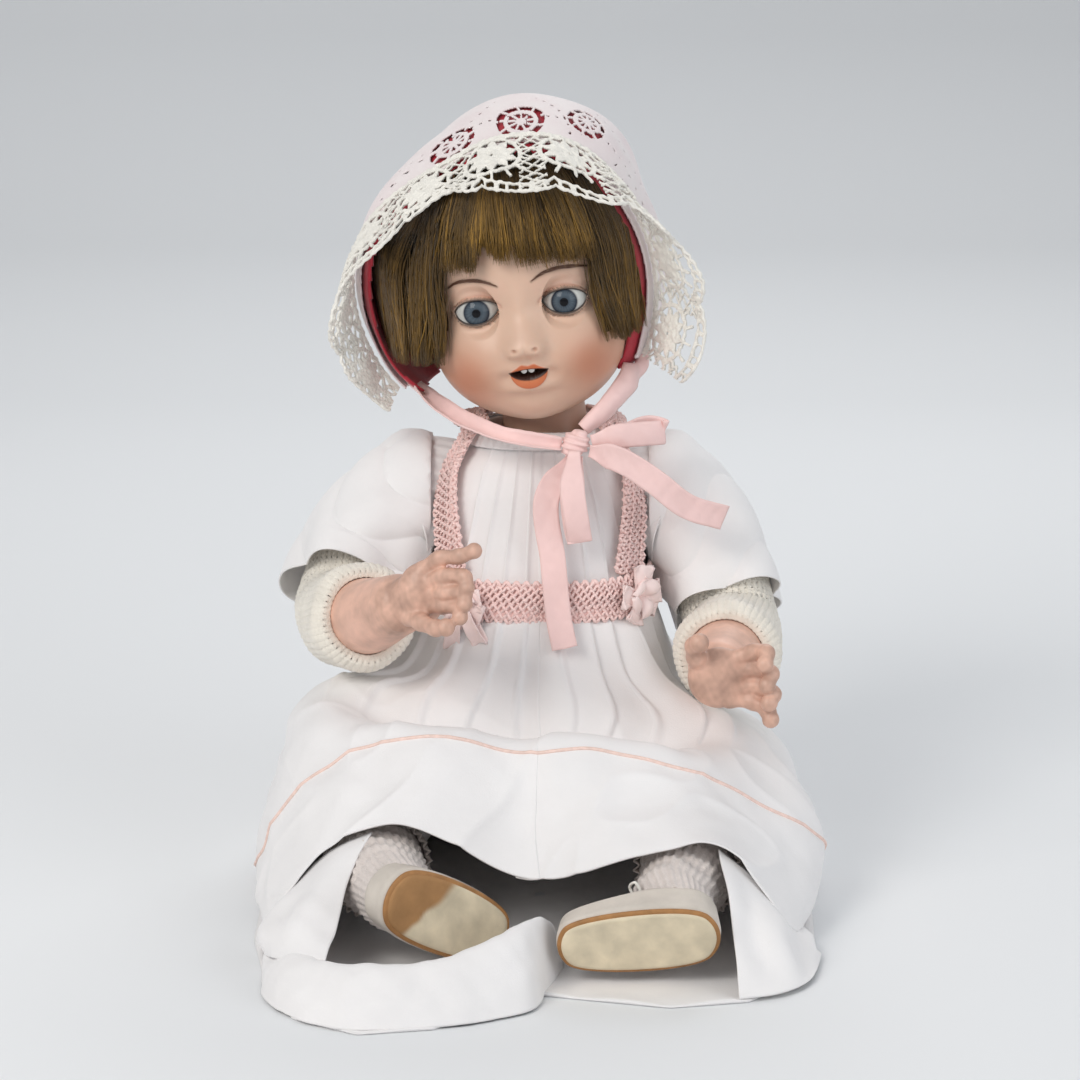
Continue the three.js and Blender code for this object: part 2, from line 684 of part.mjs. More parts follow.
place("bow_tail_out", ribbon(tailOut, tailTurns, ribbonWidth, ribbonWall, 10), pinkRibbon, headGroup);

// Torso: rings of half width, front depth and back depth by height, which every garment on it shares.
const torsoRows = profile([
  [torsoFoot, 24, 22, 22],
  [torsoFoot + 6, 35, 36, 35],
  [30, 40, 45, 43],
  [55, 40, 49, 42],
  [85, 40, 51, 39],
  [115, 41, 47, 37],
  [145, 42.5, 41, 36],
  [166, 42, 35, 33],
  [178, 37, 30, 29],
  [torsoTop, 30, 27, 26],
  [torsoTop + 10, 22, 22, 22],
]);
const squareness = 2.5; // exponent of the rings' outline
const torsoMiddle = new THREE.Vector3(0, 2, 0);
const evenAngles = (sides) => Array.from({ length: sides }, (_, k) => (k / sides) * 2 * Math.PI);
const bodyAngles = evenAngles(16);
function torsoRing(z, grow, angles, wave = () => 0) {
  const [half, front, back] = torsoRows(z);
  return angles.map((angle, k) => {
    const [s, c] = [Math.sin(angle), Math.cos(angle)];
    const swell = grow + wave(angle, z, k);
    const depth = (c > 0 ? front : back) + swell;
    const width = half + swell;
    const reach = (Math.abs(s / width) ** squareness + Math.abs(c / depth) ** squareness) ** (-1 / squareness);
    return new THREE.Vector3(reach * s, -reach * c, z).add(torsoMiddle);
  });
}
const torsoHeights = [torsoFoot, torsoFoot + 6, 28, 60, 90, 105, 135, 160, 178, torsoTop];
function torso() {
  const outside = torsoHeights.map((z) => torsoRing(z, 0, bodyAngles));
  const inside = [torsoFoot + 6, 28, 60, 105, 160, 178].map((z) => torsoRing(z, -compositionWall, evenAngles(10)));
  const socketWall = ballAt(neckPivot, neckBall + compositionWall, 10, 6);
  const hollow = solidOf(loft(inside)).subtract(socketWall);
  const socket = ballAt(neckPivot, neckBall + gap * 3, 16, 10);
  const holes = [-1, 1].flatMap((side) => [
    cylinderAlong([1, 0, 0], [side * 40, shoulder.y, shoulder.z], stringHole, 20, 8),
    cylinderAlong([1, 0, 0], [side * 38, hip.y, hip.z], stringHole, 20, 8),
  ]);
  const throat = cylinderAlong([0, 0, 1], [neckPivot.x, neckPivot.y, torsoTop - 25], stringHole + 1, 30, 8);
  const sockets = [-1, 1].flatMap((side) => [
    cylinderAlong([1, 0, 0], [side * (shoulder.x + 20), shoulder.y, shoulder.z], 20, 40, 14),
    cylinderAlong([1, 0, 0], [side * (hip.x + 20), hip.y, hip.z], legholeRadius - 1, 40, 16),
  ]);
  return largest(cut(solidOf(loft(outside)), hollow, socket, ...holes, throat, ...sockets));
}
place("torso", torso(), composition);

// Garments on the torso: each follows the torso's rings, further out than the one under it.
const vestGrow = gap;
const drawersGrow = vestGrow + knitWall + gap;
const bodiceGrow = drawersGrow + clothWall + gap;
const armhole = (side, radius) =>
  cylinderAlong([1, 0, 0], [side * (shoulder.x + 8), shoulder.y, shoulder.z], radius, 60, 18);

function openTube(heights, grow, wall, angles, wave) {
  const outer = heights.map((z) => torsoRing(z, grow + wall, angles, wave));
  const inner = heights.map((z) => torsoRing(z, grow, angles, wave));
  return solidOf(loft([...outer, ...inner.reverse()], true));
}
const sideHoles = [-1, 1].map((side) =>
  armhole(side, armholeRadius).intersect(boxBetween([side > 0 ? 30 : -90, -60, 100], [side > 0 ? 90 : -30, 60, 220])),
);
const vestHeights = [90, 105, 135, 160, 178];
place("knit_vest", largest(cut(openTube(vestHeights, vestGrow, knitWall, bodyAngles), ...sideHoles)), cream);

function drawersSeat() {
  const heights = [torsoFoot + 6, 28, 60, 90, 105];
  const around = (foot, grow, tops) =>
    solidOf(loft([foot, ...tops].map((z) => torsoRing(z, grow, bodyAngles))));
  const outer = around(torsoFoot - gap - clothWall, drawersGrow + clothWall, heights);
  const inner = around(torsoFoot - gap, drawersGrow, [...heights, 135]);
  const legholes = [-1, 1].map((side) =>
    cylinderAlong([1, 0, 0], [side * (hip.x + 18), hip.y, hip.z], legholeRadius, 40, 16),
  );
  return largest(cut(outer, inner, ...legholes));
}
place("drawers_seat", drawersSeat(), whiteCotton);

// Bodice: tucked in front, and fuller towards the waist in front and behind.
const waistFullness = 5.2;
const tuckDepth = 0.9;
const flare = (angle, z) =>
  waistFullness * THREE.MathUtils.smoothstep(168 - z, 0, 48) * (1 - Math.abs(Math.sin(angle)) ** 3);
const tuckAngles = evenAngles(34).map((t) => t - 0.42 * Math.sin(t));
const tucks = (angle, z, k) => {
  const front = THREE.MathUtils.smoothstep(Math.cos(angle), 0.55, 0.8);
  return flare(angle, z) + (k % 2 ? tuckDepth : -tuckDepth) * front * THREE.MathUtils.smoothstep(z, 112, 135);
};
const bodiceTop = torsoTop + 8; // neckline
const bodiceHeights = [waist - 7, 135, 160, 178, bodiceTop];
function bodice() {
  const tube = openTube(bodiceHeights, bodiceGrow + tuckDepth, clothWall, tuckAngles, tucks);
  return largest(cut(tube, ...sideHoles));
}
place("dress_bodice", bodice(), whiteCotton);

// Crocheted braid: a band round the waist and a strap over each shoulder.
const braidWall = 1.6;
const braidGrow = bodiceGrow + tuckDepth * 2 + clothWall + gap;
place(
  "braid_waistband",
  openTube([waist - 6, waist - 6 + waistBand], braidGrow, braidWall, evenAngles(28), flare),
  pinkBraid,
);
function onBodice(angle, z, out) {
  const ring = (a, height) => {
    const [half, front, back] = torsoRows(height);
    const grow = braidGrow + flare(a, height) + out;
    const [s, c] = [Math.sin(a), Math.cos(a)];
    const depth = (c > 0 ? front : back) + grow;
    const reach =
      (Math.abs(s / (half + grow)) ** squareness + Math.abs(c / depth) ** squareness) ** (-1 / squareness);
    return new THREE.Vector3(reach * s, -reach * c, height).add(torsoMiddle);
  };
  const at = ring(angle, z);
  const along = ring(angle + 0.05, z).sub(at).normalize();
  const up = ring(angle, z + 1).sub(at).normalize();
  return { at, along, face: along.clone().cross(up).normalize() };
}
const strapFoot = waist - 6 + waistBand + gap;
const strapFront = [[0.78, strapFoot], [0.85, 148], [0.91, 164], [0.93, 178]];
const strapOver = [1.05, 1.35, 1.8, 2.2];
const strapBack = [[2.38, 178], [2.34, 164], [2.28, 148], [2.26, strapFoot]];
function strap(side) {
  const upright = (rows) =>
    rows.map(([angle, z]) => {
      const { at, along, face } = onBodice(side * angle, z, braidWall / 2);
      const half = along.multiplyScalar(braidWidth / 2 / Math.abs(along.length()));
      return { at, half: half.x < 0 ? half.negate() : half, face };
    });
  const over = strapOver.map((angle) => {
    const at = onBodice(side * angle, bodiceTop, 0.9).at;
    at.z = bodiceTop + gap * 3 + braidWall / 2 + 2.5 * Math.sin(angle);
    return { at, half: new THREE.Vector3(braidWidth / 2, 0, -side * 1.5), face: new THREE.Vector3(0, 0, 1) };
  });
  return strip([...upright(strapFront), ...over, ...upright(strapBack)], braidWall);
}
for (const side of [1, -1]) {
  place(side > 0 ? "braid_left_strap" : "braid_right_strap", strap(side), pinkBraid);
}

// Ribbon rosettes on the waistband, and the buttons of the back opening.
function rosette(angle, lift) {
  const spot = onBodice(angle, waist + 2, braidWall + gap);
  const petals = new THREE.Shape();
  const count = 15;
  for (let i = 0; i < count; i++) {
    const turn = (i / count) * 2 * Math.PI;
    const r = 10 + 1.6 * Math.cos(turn * 5);
    petals[i ? "lineTo" : "moveTo"](r * Math.cos(turn), r * Math.sin(turn));
  }
  const rounding = { bevelEnabled: true, bevelSize: 2.4, bevelThickness: 2.4, bevelSegments: 1 };
  const disc = new THREE.ExtrudeGeometry(petals, { depth: 2, ...rounding });
  const up = new THREE.Vector3(0, 0, 1);
  const out = spot.at.clone().sub(torsoMiddle).setZ(0).normalize();
  const frame = new THREE.Matrix4().makeBasis(up.clone().cross(out), up, out);
  frame.setPosition(spot.at.addScaledVector(out, lift));
  return solidOf(disc.applyMatrix4(frame));
}
place("rosette_left", rosette(0.8, 3.7), pinkRibbon);
place("rosette_right", rosette(-0.68, 3.2), pinkRibbon);
const buttonHeights = [
  ["back_button_low", waist + 17],
  ["back_button_middle", waist + 35],
  ["back_button_high", waist + 52],
];
for (const [name, z] of buttonHeights) {
  const spot = onBodice(Math.PI, z, 0);
  place(name, cylinderAlong([0, 1, 0], [0, spot.at.y + 1.2, z], 4, 2, 8), pearl);
}

// Stringing cords inside the torso, from hook to hook.
function cord(points, count) {
  const line = new THREE.CatmullRomCurve3(points.map(vec));
  const circle = new THREE.Shape();
  circle.absarc(0, 0, cordRadius, 0, 2 * Math.PI);
  return new THREE.ExtrudeGeometry(circle, { steps: count, extrudePath: line, curveSegments: 3, bevelEnabled: false });
}
const hookRing = 4;
const hookWire = 1.1;
const armHookX = 25;
const legHookX = 23;
const inRing = hookRing - hookWire - cordRadius - gap; // the cord lies against the ring
const cordAtArm = (side, lift) => [side * (armHookX - inRing), shoulder.y, shoulder.z + lift];
const cordAtLeg = (side, lift) => [side * (legHookX - inRing), hip.y, hip.z + lift];
place(
  "arm_cord",
  cord([cordAtArm(-1, 3), cordAtArm(-1, -5), [0, shoulder.y + 21, shoulder.z - 14],
    cordAtArm(1, -5), cordAtArm(1, 3)], 14),
  elastic,
);
const neckHookZ = neckPivot.z - 36;
place(
  "leg_cord",
  cord([cordAtLeg(-1, -3), cordAtLeg(-1, 6), [-7, 3, neckHookZ - 22], [-1.5, 3, neckHookZ - 4.5], [neckPivot.x, 3, neckHookZ - 1.6],
    [8.5, 3, neckHookZ - 4.5], [14, 3, neckHookZ - 22], cordAtLeg(1, 6), cordAtLeg(1, -3)], 24),
  elastic,
);

// Arms: bent at the elbow, with a flat face against the torso and a modelled hand.
const armJoin = 41.5; // inner face of the arms
const cuff = 4; // point of the arm's line where the knit sleeve ends
const slab = (side, from, to) => boxBetween(
  [Math.min(side * from, side * to), -400, -50],
  [Math.max(side * from, side * to), 99, 300],
);
const arms = {
  left: {
    side: 1,
    line: [[55, 4, 161], [68, 1, 148], [82, -8, 124], [88, -24, 104], [83, -60, 100], [78, -92, 102]],
    radii: [18, 19.5, 18.5, 17.5, 17, 13.5],
    hem: 2.5,
    hemGrow: [7.4, 6.2, 6.4, 6.2],
    palm: { at: [77, -111, 103], semi: [14.5, 8, 15] },
    fingers: [
      [[86, -112, 115], [95, -120, 116]],
      [[89, -112, 108], [98, -121, 108]],
      [[90, -112, 100], [99, -121, 99]],
      [[87, -112, 93], [98, -119, 90]],
      [[69, -112, 113], [67, -121, 120]],
    ],
    thick: 4,
  },
  right: {
    side: -1,
    line: [[-55, 4, 161], [-68, 0, 150], [-84, -9, 130], [-89, -28, 113], [-77, -68, 120], [-61, -97, 132]],
    radii: [18, 19.5, 18.5, 17.5, 17, 13.5],
    hem: 2.5,
    hemGrow: [7.4, 7, 9, 9.6],
    palm: { at: [-50, -110, 141], semi: [11.5, 9, 15] },
    fingers: [
      [[-45, -114, 153], [-32, -121, 157]],
      [[-43, -116, 148], [-31, -122, 150]],
      [[-42, -117, 141], [-31, -123, 143]],
      [[-43, -117, 135], [-33, -123, 136]],
      [[-52, -118, 130], [-42, -127, 128]],
    ],
    thick: 3.8,
  },
};

function armSolid(arm, line) {
  const ball = ballAt(arm.line[0], 18.2, 10, 6);
  const straight = limb(line, 0.5, line.last, 0, 10, 9);
  const palm = ellipsoid(arm.palm.at, arm.palm.semi, 10, 6);
  const fingers = arm.fingers.map(([from, to]) => {
    const points = [vec(arm.palm.at).lerp(vec(from), 0.55), vec(from), vec(to)];
    const finger = limbLine(points, [arm.thick, arm.thick, arm.thick * 0.86], [0.1, 0.2, 1]);
    return limb(finger, 0, 2, 0, 5, 1);
  });
  const disc = cylinderAlong([1, 0, 0], [arm.side * 50, shoulder.y, shoulder.z], 19.2, 40, 12);
  const inside = join(slab(arm.side, -60, armJoin), slab(arm.side, 0, 49.2).subtract(disc));
  const bore = cylinderAlong([1, 0, 0], [arm.side * 50, shoulder.y, shoulder.z], 1.4 + gap, 26, 8);
  return largest(cut(join(ball, straight, palm, ...fingers), inside, bore));
}

// Hook in the flat face of a limb: a shank along X with a ring inside the torso.
function limbHook(side, at, ringX, shankEnd) {
  const ring = new THREE.TorusGeometry(hookRing, hookWire, 4, 9).translate(side * ringX, at.y, at.z);
  const length = shankEnd - ringX - 3.6;
  const shank = cylinderAlong([1, 0, 0], [side * (shankEnd - length / 2), at.y, at.z], 1.4, length, 7);
  return join(solidOf(ring), shank);
}

// Pieces of one arm: the arm, its hook, the knit sleeve and the sleeve of the dress.
const sleeveFoot = 49.3; // the sleeves start this far from the middle, and clear the braid below the armhole
for (const [name, arm] of Object.entries(arms)) {
  const line = limbLine(arm.line.map(vec), arm.radii, [0.8 * arm.side, 0, 0.5]);
  const opening = cylinderAlong([1, 0, 0], [arm.side * 50, shoulder.y, shoulder.z], armholeRadius + 5, 40, 14);
  const away = join(slab(arm.side, -60, sleeveFoot), slab(arm.side, 0, 52).subtract(opening));
  place(name + "_arm", armSolid(arm, line), composition);
  place(name + "_arm_hook", limbHook(arm.side, shoulder, armHookX, 60), wire);
  const knitGrow = (u) => 2.8 - 1.2 * THREE.MathUtils.smoothstep(u, 0, 1) + 2 * THREE.MathUtils.smoothstep(u, 2.4, 4);
  const knit = headedSleeve(line, cuff, knitGrow, knitWall, 10, 8);
  place(name + "_knit_sleeve", largest(cut(knit, away)), cream);
  const clothGrow = profile(arm.hemGrow.map((g, i) => [(i * arm.hem) / (arm.hemGrow.length - 1), g]));
  const folds = (a, u) => 0.9 * (u / arm.hem) * Math.sin(a * 4) + 0.4 * Math.sin(a * 3 + 1);
  const cloth = headedSleeve(line, arm.hem, (u) => clothGrow(u)[0] + 0.8, clothWall, 14, 5, folds);
  place(name + "_sleeve", largest(cut(cloth, away)), whiteCotton);
}

// Shares by which the legs and the skirt widen and lengthen, 1 at the sizes that their points were drawn for.
const skirtSpread = skirtWidth / 239;
const legStretch = legReach / 274;

// Legs: short and bent, each with a foot whose sole faces forwards and whose toes point inwards.
const legJoin = 38.5; // inner face of the legs
const legs = {
  left: {
    side: 1,
    line: [[54, 2, 42], [66, -50, 37], [72, -98, 33], [64, -146, 30], [53, -201, 27.5]],
    radii: [26.5, 25, 21.5, 19, 14.5],
    heel: [56, -221, 21.4],
    toward: [-0.99, 0, -0.1],
    facing: [0, -0.94, -0.34],
  },
  right: {
    side: -1,
    line: [[-54, 2, 42], [-67, -52, 37], [-74, -100, 34], [-70, -148, 32], [-60, -194, 32]],
    radii: [26.5, 25, 21.5, 19, 14.5],
    heel: [-49, -212, 32.4],
    toward: [0.715, 0.512, -0.47],
    facing: [0.58, -0.81, 0],
  },
};

const stretched = ([x, y, z]) => vec([x, y * legStretch, z]);

// Frame of a foot: origin in the heel's centre on the sole, x to the toe, y across, z into the foot.
function footFrame(leg) {
  const into = vec(leg.facing).negate().normalize();
  const toe = vec(leg.toward);
  toe.addScaledVector(into, -toe.dot(into)).normalize();
  return new THREE.Matrix4().makeBasis(toe, into.clone().cross(toe), into).setPosition(stretched(leg.heel));
}
const heelRadius = shoe.width / 2 - 1;
const toeRadius = heelRadius * 0.78;
const footLength = shoe.length - heelRadius - toeRadius;

// Outline of the sole, grown by some millimetres.
function soleOutline(grow, count) {
  return Array.from({ length: count }, (_, i) => {
    const turn = (i / count) * 2 * Math.PI;
    const forward = (1 + Math.cos(turn)) / 2;
    const radius = THREE.MathUtils.lerp(heelRadius, toeRadius, forward) + grow;
    return [footLength * THREE.MathUtils.smoothstep(forward, 0.1, 0.9) + radius * Math.cos(turn), radius * Math.sin(turn)];
  });
}

// Foot or a layer round it: the sole's outline, lower over the toes and higher over the heel.
function footLoft(frame, grow, base, count = 10) {
  const heights = [base, base + 2.5, 15, 24];
  const shrink = [1.2, 0, 1, 9];
  const rings = heights.map((z, i) =>
    soleOutline(grow - shrink[i], count).map(([x, y]) => {
      const toeFall = 1 - 0.42 * THREE.MathUtils.smoothstep(x, 0, footLength + toeRadius);
      return new THREE.Vector3(x, y, base + (z - base + grow * (i / 3)) * toeFall).applyMatrix4(frame);
    }),
  );
  return solidOf(loft(rings));
}
const footBase = shoe.sole + leatherWall + clothWall + gap * 2 + 0.4;

function footPlate(frame, grow, from, to) {
  const outline = new THREE.Shape(soleOutline(grow, 16).map(([x, y]) => new THREE.Vector2(x, y)));
  const plate = new THREE.ExtrudeGeometry(outline, { depth: to - from, bevelEnabled: false });
  return solidOf(plate.translate(0, 0, from).applyMatrix4(frame));
}

for (const [name, leg] of Object.entries(legs)) {
  const line = limbLine(leg.line.map(stretched), leg.radii, [0, 0, 1]);
  const frame = footFrame(leg);
  const disc = cylinderAlong([1, 0, 0], [leg.side * 50, hip.y, hip.z], 27.2, 60, 12);
  const inside = join(slab(leg.side, -10, legJoin), slab(leg.side, 0, 46).subtract(disc));
  const bore = cylinderAlong([1, 0, 0], [leg.side * 50, hip.y, hip.z], 1.4 + gap, 30, 8);
  const hipBall = ballAt([leg.side * 54, hip.y, hip.z], 26.4, 10, 6);
  const nearHip = inside.intersect(boxBetween([-60, -90, 0], [60, 40, 90]));
  const ankleEnd = line.last - 0.1;
  const ringStep = (ankleEnd - 0.5) / 7;
  const kneeBand = 0.5 + ringStep * 5;
  const sockFrom = kneeBand;
  const legBody = join(limb(line, 0.5 - ringStep, ankleEnd, 0, 10, 8), hipBall, footLoft(frame, -3.4, footBase));
  place(name + "_leg", largest(cut(legBody, nearHip, bore)), composition);
  place(name + "_leg_hook", limbHook(leg.side, hip, legHookX, 62), wire);
  const layer = (grow, base) => join(limb(line, sockFrom, ankleEnd, grow, 10, 2), footLoft(frame, grow - 3.4, base));
  const top = line.station(sockFrom + 0.04);
  const mouth = cylinderAlong(top.along, top.at.clone().addScaledVector(top.along, -30), 60, 60, 16);
  const sock = cut(layer(gap + clothWall, footBase - gap - clothWall), layer(gap, footBase - gap), mouth);
  place(name + "_sock", largest(sock), lace);
  const shoeOut = footLoft(frame, 0.6, shoe.sole + gap);
  const shoeIn = footLoft(frame, 0.6 - leatherWall, shoe.sole + gap + leatherWall);
  const ankle = line.station(ankleEnd);
  const throat = cylinderAlong(ankle.along, ankle.at.clone().addScaledVector(ankle.along, 4), 17.4, 30, 14);
  place(name + "_shoe_upper", largest(cut(shoeOut, shoeIn, throat)), shoeLeather);
  place(name + "_shoe_sole", footPlate(frame, 1.4, 0, shoe.sole), soleLeather);
  const drawersFit = (u) => 2.4 - 1.7 * THREE.MathUtils.smoothstep(u, 1.4, kneeBand);
  const drawers = sleeve(line, 0.5 - ringStep, kneeBand, drawersFit, clothWall, 10, 6);
  place(name + "_drawers_leg", largest(cut(solidOf(drawers), slab(leg.side, -10, 46.4))), whiteCotton);
}

// Skirt: a front over the legs down to the turned hem, and a back that runs on under the doll.
const skirtFront = [
  [
    [-45, 24, 112.4], [-51, -4, 112.4], [-44, -32, 112.4], [-26, -50, 112.4], [0, -57, 112.4], [26, -50, 112.4],
    [44, -32, 112.4], [51, -4, 112.4], [45, 24, 112.4],
  ],
  [
    [-66, 28, 84], [-70, -10, 84], [-60, -44, 89], [-34, -62, 93], [0, -68, 95], [34, -62, 92],
    [58, -44, 84], [68, -10, 74], [65, 28, 80],
  ],
  [
    [-98, 22, 46], [-106, -22, 63], [-86, -60, 88], [-45, -83, 81], [0, -87, 75], [45, -83, 77],
    [80, -62, 72], [102, -22, 56], [96, 22, 46],
  ],
  [
    [-115, 0, 5], [-119, -60, 43], [-91, -100, 85], [-48, -110, 73], [0, -110, 65], [30, -110, 68],
    [80, -103, 68], [112, -62, 44], [111, 0, 5],
  ],
  [
    [-120, -50, 2], [-122, -108, 26], [-85, -128, 73], [-48, -136, 83], [0, -136, 77], [22, -138, 80],
    [75, -132, 63], [119, -108, 33], [118, -50, 2],
  ],
  [
    [-119, -105, 2], [-120, -140, 14], [-87, -152, 60], [-52, -159, 68], [-2, -162, 49], [28, -164, 58],
    [74, -156, 54], [116, -140, 18], [117, -105, 2],
  ],
  [
    [-115, -150, 2], [-113, -172, 10], [-90, -172, 44], [-62, -176, 57], [0, -182, 34], [42, -188, 46],
    [76, -184, 48], [104, -182, 14], [111, -150, 2],
  ],
];
const spreadRows = (rows) =>
  rows.map((row, i) => row.map(([x, y, z]) => (i === 0 ? [x, y, z] : [x * skirtSpread, y * legStretch, z])));
function skirtFolds(grid, depth, folds, foot) {
  return grid.map((row, i) =>
    row.map((p, j) => {
      const down = i / (grid.length - 1);
      const over = j / (row.length - 1);
      const fade = Math.min(Math.sin(Math.PI * over) * 2, 1) * (1 - foot * down) * Math.min(down * 4, 1);
      const out = new THREE.Vector3(p.x, p.y, 0).normalize().add(new THREE.Vector3(0, 0, 0.6)).normalize();
      return p.clone().addScaledVector(out, depth * fade * Math.sin(over * folds * 2 * Math.PI));
    }),
  );
}
const frontGrid = skirtFolds(smoothGrid(spreadRows(skirtFront), 7, 24), 4, 6, 0.9);
place("skirt_front", sheet(frontGrid, clothWall, 1.6), whiteCotton);

const skirtBack = [
  [[44, 23, 111.6], [33, 42, 112.4], [0, 48, 112.4], [-33, 42, 112.4], [-44, 23, 111.6]],
  [[62, 24, 80], [46, 56, 86], [0, 64, 90], [-46, 56, 86], [-63, 24, 84]],
  [[92, 18, 44], [66, 64, 48], [0, 78, 54], [-66, 64, 48], [-94, 18, 44]],
  [[106, -2, 5], [74, 66, 12], [0, 84, 18], [-74, 66, 12], [-110, -2, 5]],
  [[113, -50, 0.4], [70, 56, 0.4], [0, 76, 0.4], [-70, 56, 0.4], [-115, -50, 0.4]],
];
// Ridge of the lower hem in front of the doll's right foot: across it, from the inside out.
const hemRidge = [
  [[-99, -180, 0.4], [-101, -181, 7], [-106, -183, 12], [-113, -185, 7], [-114, -186, 0.4]],
  [[-88, -216, 0.4], [-91, -220, 10], [-98, -228, 17], [-106, -236, 9], [-108, -240, 0.4]],
  [[-68, -234, 0.4], [-70, -238, 11], [-74, -248, 19], [-79, -262, 10], [-81, -268, 0.4]],
  [[-44, -236, 0.4], [-44, -239, 12], [-44, -246, 20], [-44, -261, 11], [-44, -267, 0.4]],
  [[-20, -222, 0.4], [-19, -224, 16], [-15, -230, 26], [-9, -243, 13], [-6, -249, 0.4]],
  [[-5, -205, 0.4], [-4, -207, 18], [-1, -212, 27], [1, -219, 14], [2, -224, 0.4]],
  [[2, -186, 0.4], [3, -187, 9], [6, -189, 13], [8, -192, 8], [9, -195, 0.4]],
];
const floorOutline = [
  [106, 4], [117, -50], [119, -105], [116, -165], [104, -212], [84, -236], [52, -243], [20, -234], [0, -228],
  [-18, -246], [-42, -268], [-72, -274], [-98, -256], [-112, -215], [-121, -160], [-122, -105], [-120, -50],
  [-109, 4], [-84, 42], [-60, 66], [-30, 74], [0, 76], [30, 74], [60, 66], [84, 42],
];
const inward = (p, reach) => new THREE.Vector3(p.x, p.y, 60).normalize().multiplyScalar(reach);
function skirtUnder() {
  const outline = new THREE.Shape(floorOutline.map(([x, y]) => new THREE.Vector2(x * skirtSpread, y * legStretch)));
  const plate = new THREE.ExtrudeGeometry(outline, { depth: clothWall, bevelEnabled: false });
  const dome = sheet(skirtFolds(smoothGrid(spreadRows(skirtBack), 5, 12), 3, 3, 0.6), clothWall, 0);
  const room = sheet(frontGrid.map((row) => row.map((p) => p.clone().sub(inward(p, gap)))), clothWall + gap * 2);
  const ridgeRows = hemRidge.map((row) => row.map(([x, y, z]) => [x * skirtSpread, y * legStretch, z]));
  const ridge = sheet(smoothGrid(ridgeRows, 10, 4), clothWall, 0);
  return join(solidOf(plate), cut(solidOf(dome), solidOf(room)), solidOf(ridge));
}
place("skirt_back", largest(skirtUnder()), whiteCotton);

doll.updateMatrixWorld(true);
export default doll;
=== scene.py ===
# Sitting baby doll of about 1915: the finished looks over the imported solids.
# Lengths are in millimetres up to the moment a mesh is made, and in the part's own frame.
import math
import bpy
import numpy as np
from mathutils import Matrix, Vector
from mathutils.bvhtree import BVHTree


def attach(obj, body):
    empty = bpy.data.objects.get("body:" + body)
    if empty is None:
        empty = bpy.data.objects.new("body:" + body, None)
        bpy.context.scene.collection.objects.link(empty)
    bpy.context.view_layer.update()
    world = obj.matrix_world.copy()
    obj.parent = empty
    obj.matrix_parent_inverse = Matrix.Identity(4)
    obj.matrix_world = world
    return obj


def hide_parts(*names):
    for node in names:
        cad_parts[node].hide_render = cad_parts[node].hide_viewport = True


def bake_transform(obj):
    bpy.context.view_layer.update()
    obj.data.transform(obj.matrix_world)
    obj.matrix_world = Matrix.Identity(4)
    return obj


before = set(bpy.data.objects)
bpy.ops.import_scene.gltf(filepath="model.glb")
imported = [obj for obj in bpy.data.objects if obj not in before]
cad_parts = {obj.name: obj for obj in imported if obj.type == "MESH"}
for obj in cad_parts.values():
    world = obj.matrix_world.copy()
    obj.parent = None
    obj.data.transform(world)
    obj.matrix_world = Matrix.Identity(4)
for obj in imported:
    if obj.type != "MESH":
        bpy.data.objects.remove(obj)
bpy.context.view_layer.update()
MM = 0.001
rng = np.random.default_rng(7)

# Sizes shared with the solids
NECK = np.array([3.5, 3.0, 188.0])
HEAD_TILT, HEAD_TURN = 8.0, 3.0
SKULL = (np.array([0, 2.0, 82]), np.array([52.0, 58, 61]))
JAW = (np.array([0, -13.0, 49]), np.array([43.5, 43, 36]))
HEAD_CENTRE = np.array([0, -4.0, 70])
EYE = np.array([19.3, -40.5, 68.0])
EYE_RADIUS = 11.1
MOUTH = 39.5
CAP_CENTRE = np.array([-2.0, 6, 79])
CAP_SEMI = np.array([62.0, 66, 73])
CROWN_LEAN, STAND_OFF = 9.0, 13.0
SHOULDER = np.array([41.0, 4, 162])
WAIST = 121.0
BODICE_TOP = 192.0


# Curves, rings and grids

def circle(count):
    """Angles of a full turn, evenly spread."""
    return np.linspace(0, 2 * np.pi, count, endpoint=False)


def curve(points):
    """Smooth centripetal curve through points, at parameters from 0 to 1."""
    p = np.asarray(points, float)
    n = len(p)
    ext = np.vstack([2 * p[0] - p[1], p, 2 * p[-1] - p[-2]])

    def at(t):
        t = np.clip(np.atleast_1d(np.asarray(t, float)), 0, 1) * (n - 1)
        i = np.minimum(t.astype(int), n - 2)
        w = (t - i)[:, None]
        a, b, c, d = ext[i], ext[i + 1], ext[i + 2], ext[i + 3]
        g0, g1, g2 = (np.maximum(np.linalg.norm(q - r, axis=1, keepdims=True), 1e-8) ** 0.5
                      for q, r in ((b, a), (c, b), (d, c)))
        m1 = ((b - a) / g0 - (c - a) / (g0 + g1) + (c - b) / g1) * g1
        m2 = ((c - b) / g1 - (d - b) / (g1 + g2) + (d - c) / g2) * g1
        return b + m1 * w + (3 * (c - b) - 2 * m1 - m2) * w ** 2 + (2 * (b - c) + m1 + m2) * w ** 3

    return at


def profile(rows):
    """Smooth interpolation of rows of numbers whose first column rises."""
    rows = np.asarray(rows, float)

    def at(x):
        x = np.atleast_1d(np.asarray(x, float))
        last = len(rows) - 1
        i = np.clip(np.searchsorted(rows[:, 0], x, side="left") - 1, 0, last - 1)
        t = np.clip((x - rows[i, 0]) / (rows[i + 1, 0] - rows[i, 0]), 0, 1)[:, None]
        p0, p1 = rows[np.maximum(i - 1, 0), 1:], rows[i, 1:]
        p2, p3 = rows[i + 1, 1:], rows[np.minimum(i + 2, last), 1:]
        m1, m2 = (p2 - p0) / 2, (p3 - p1) / 2
        return ((2 * p1 - 2 * p2 + m1 + m2) * t + (-3 * p1 + 3 * p2 - 2 * m1 - m2)) * t * t + m1 * t + p1

    return at


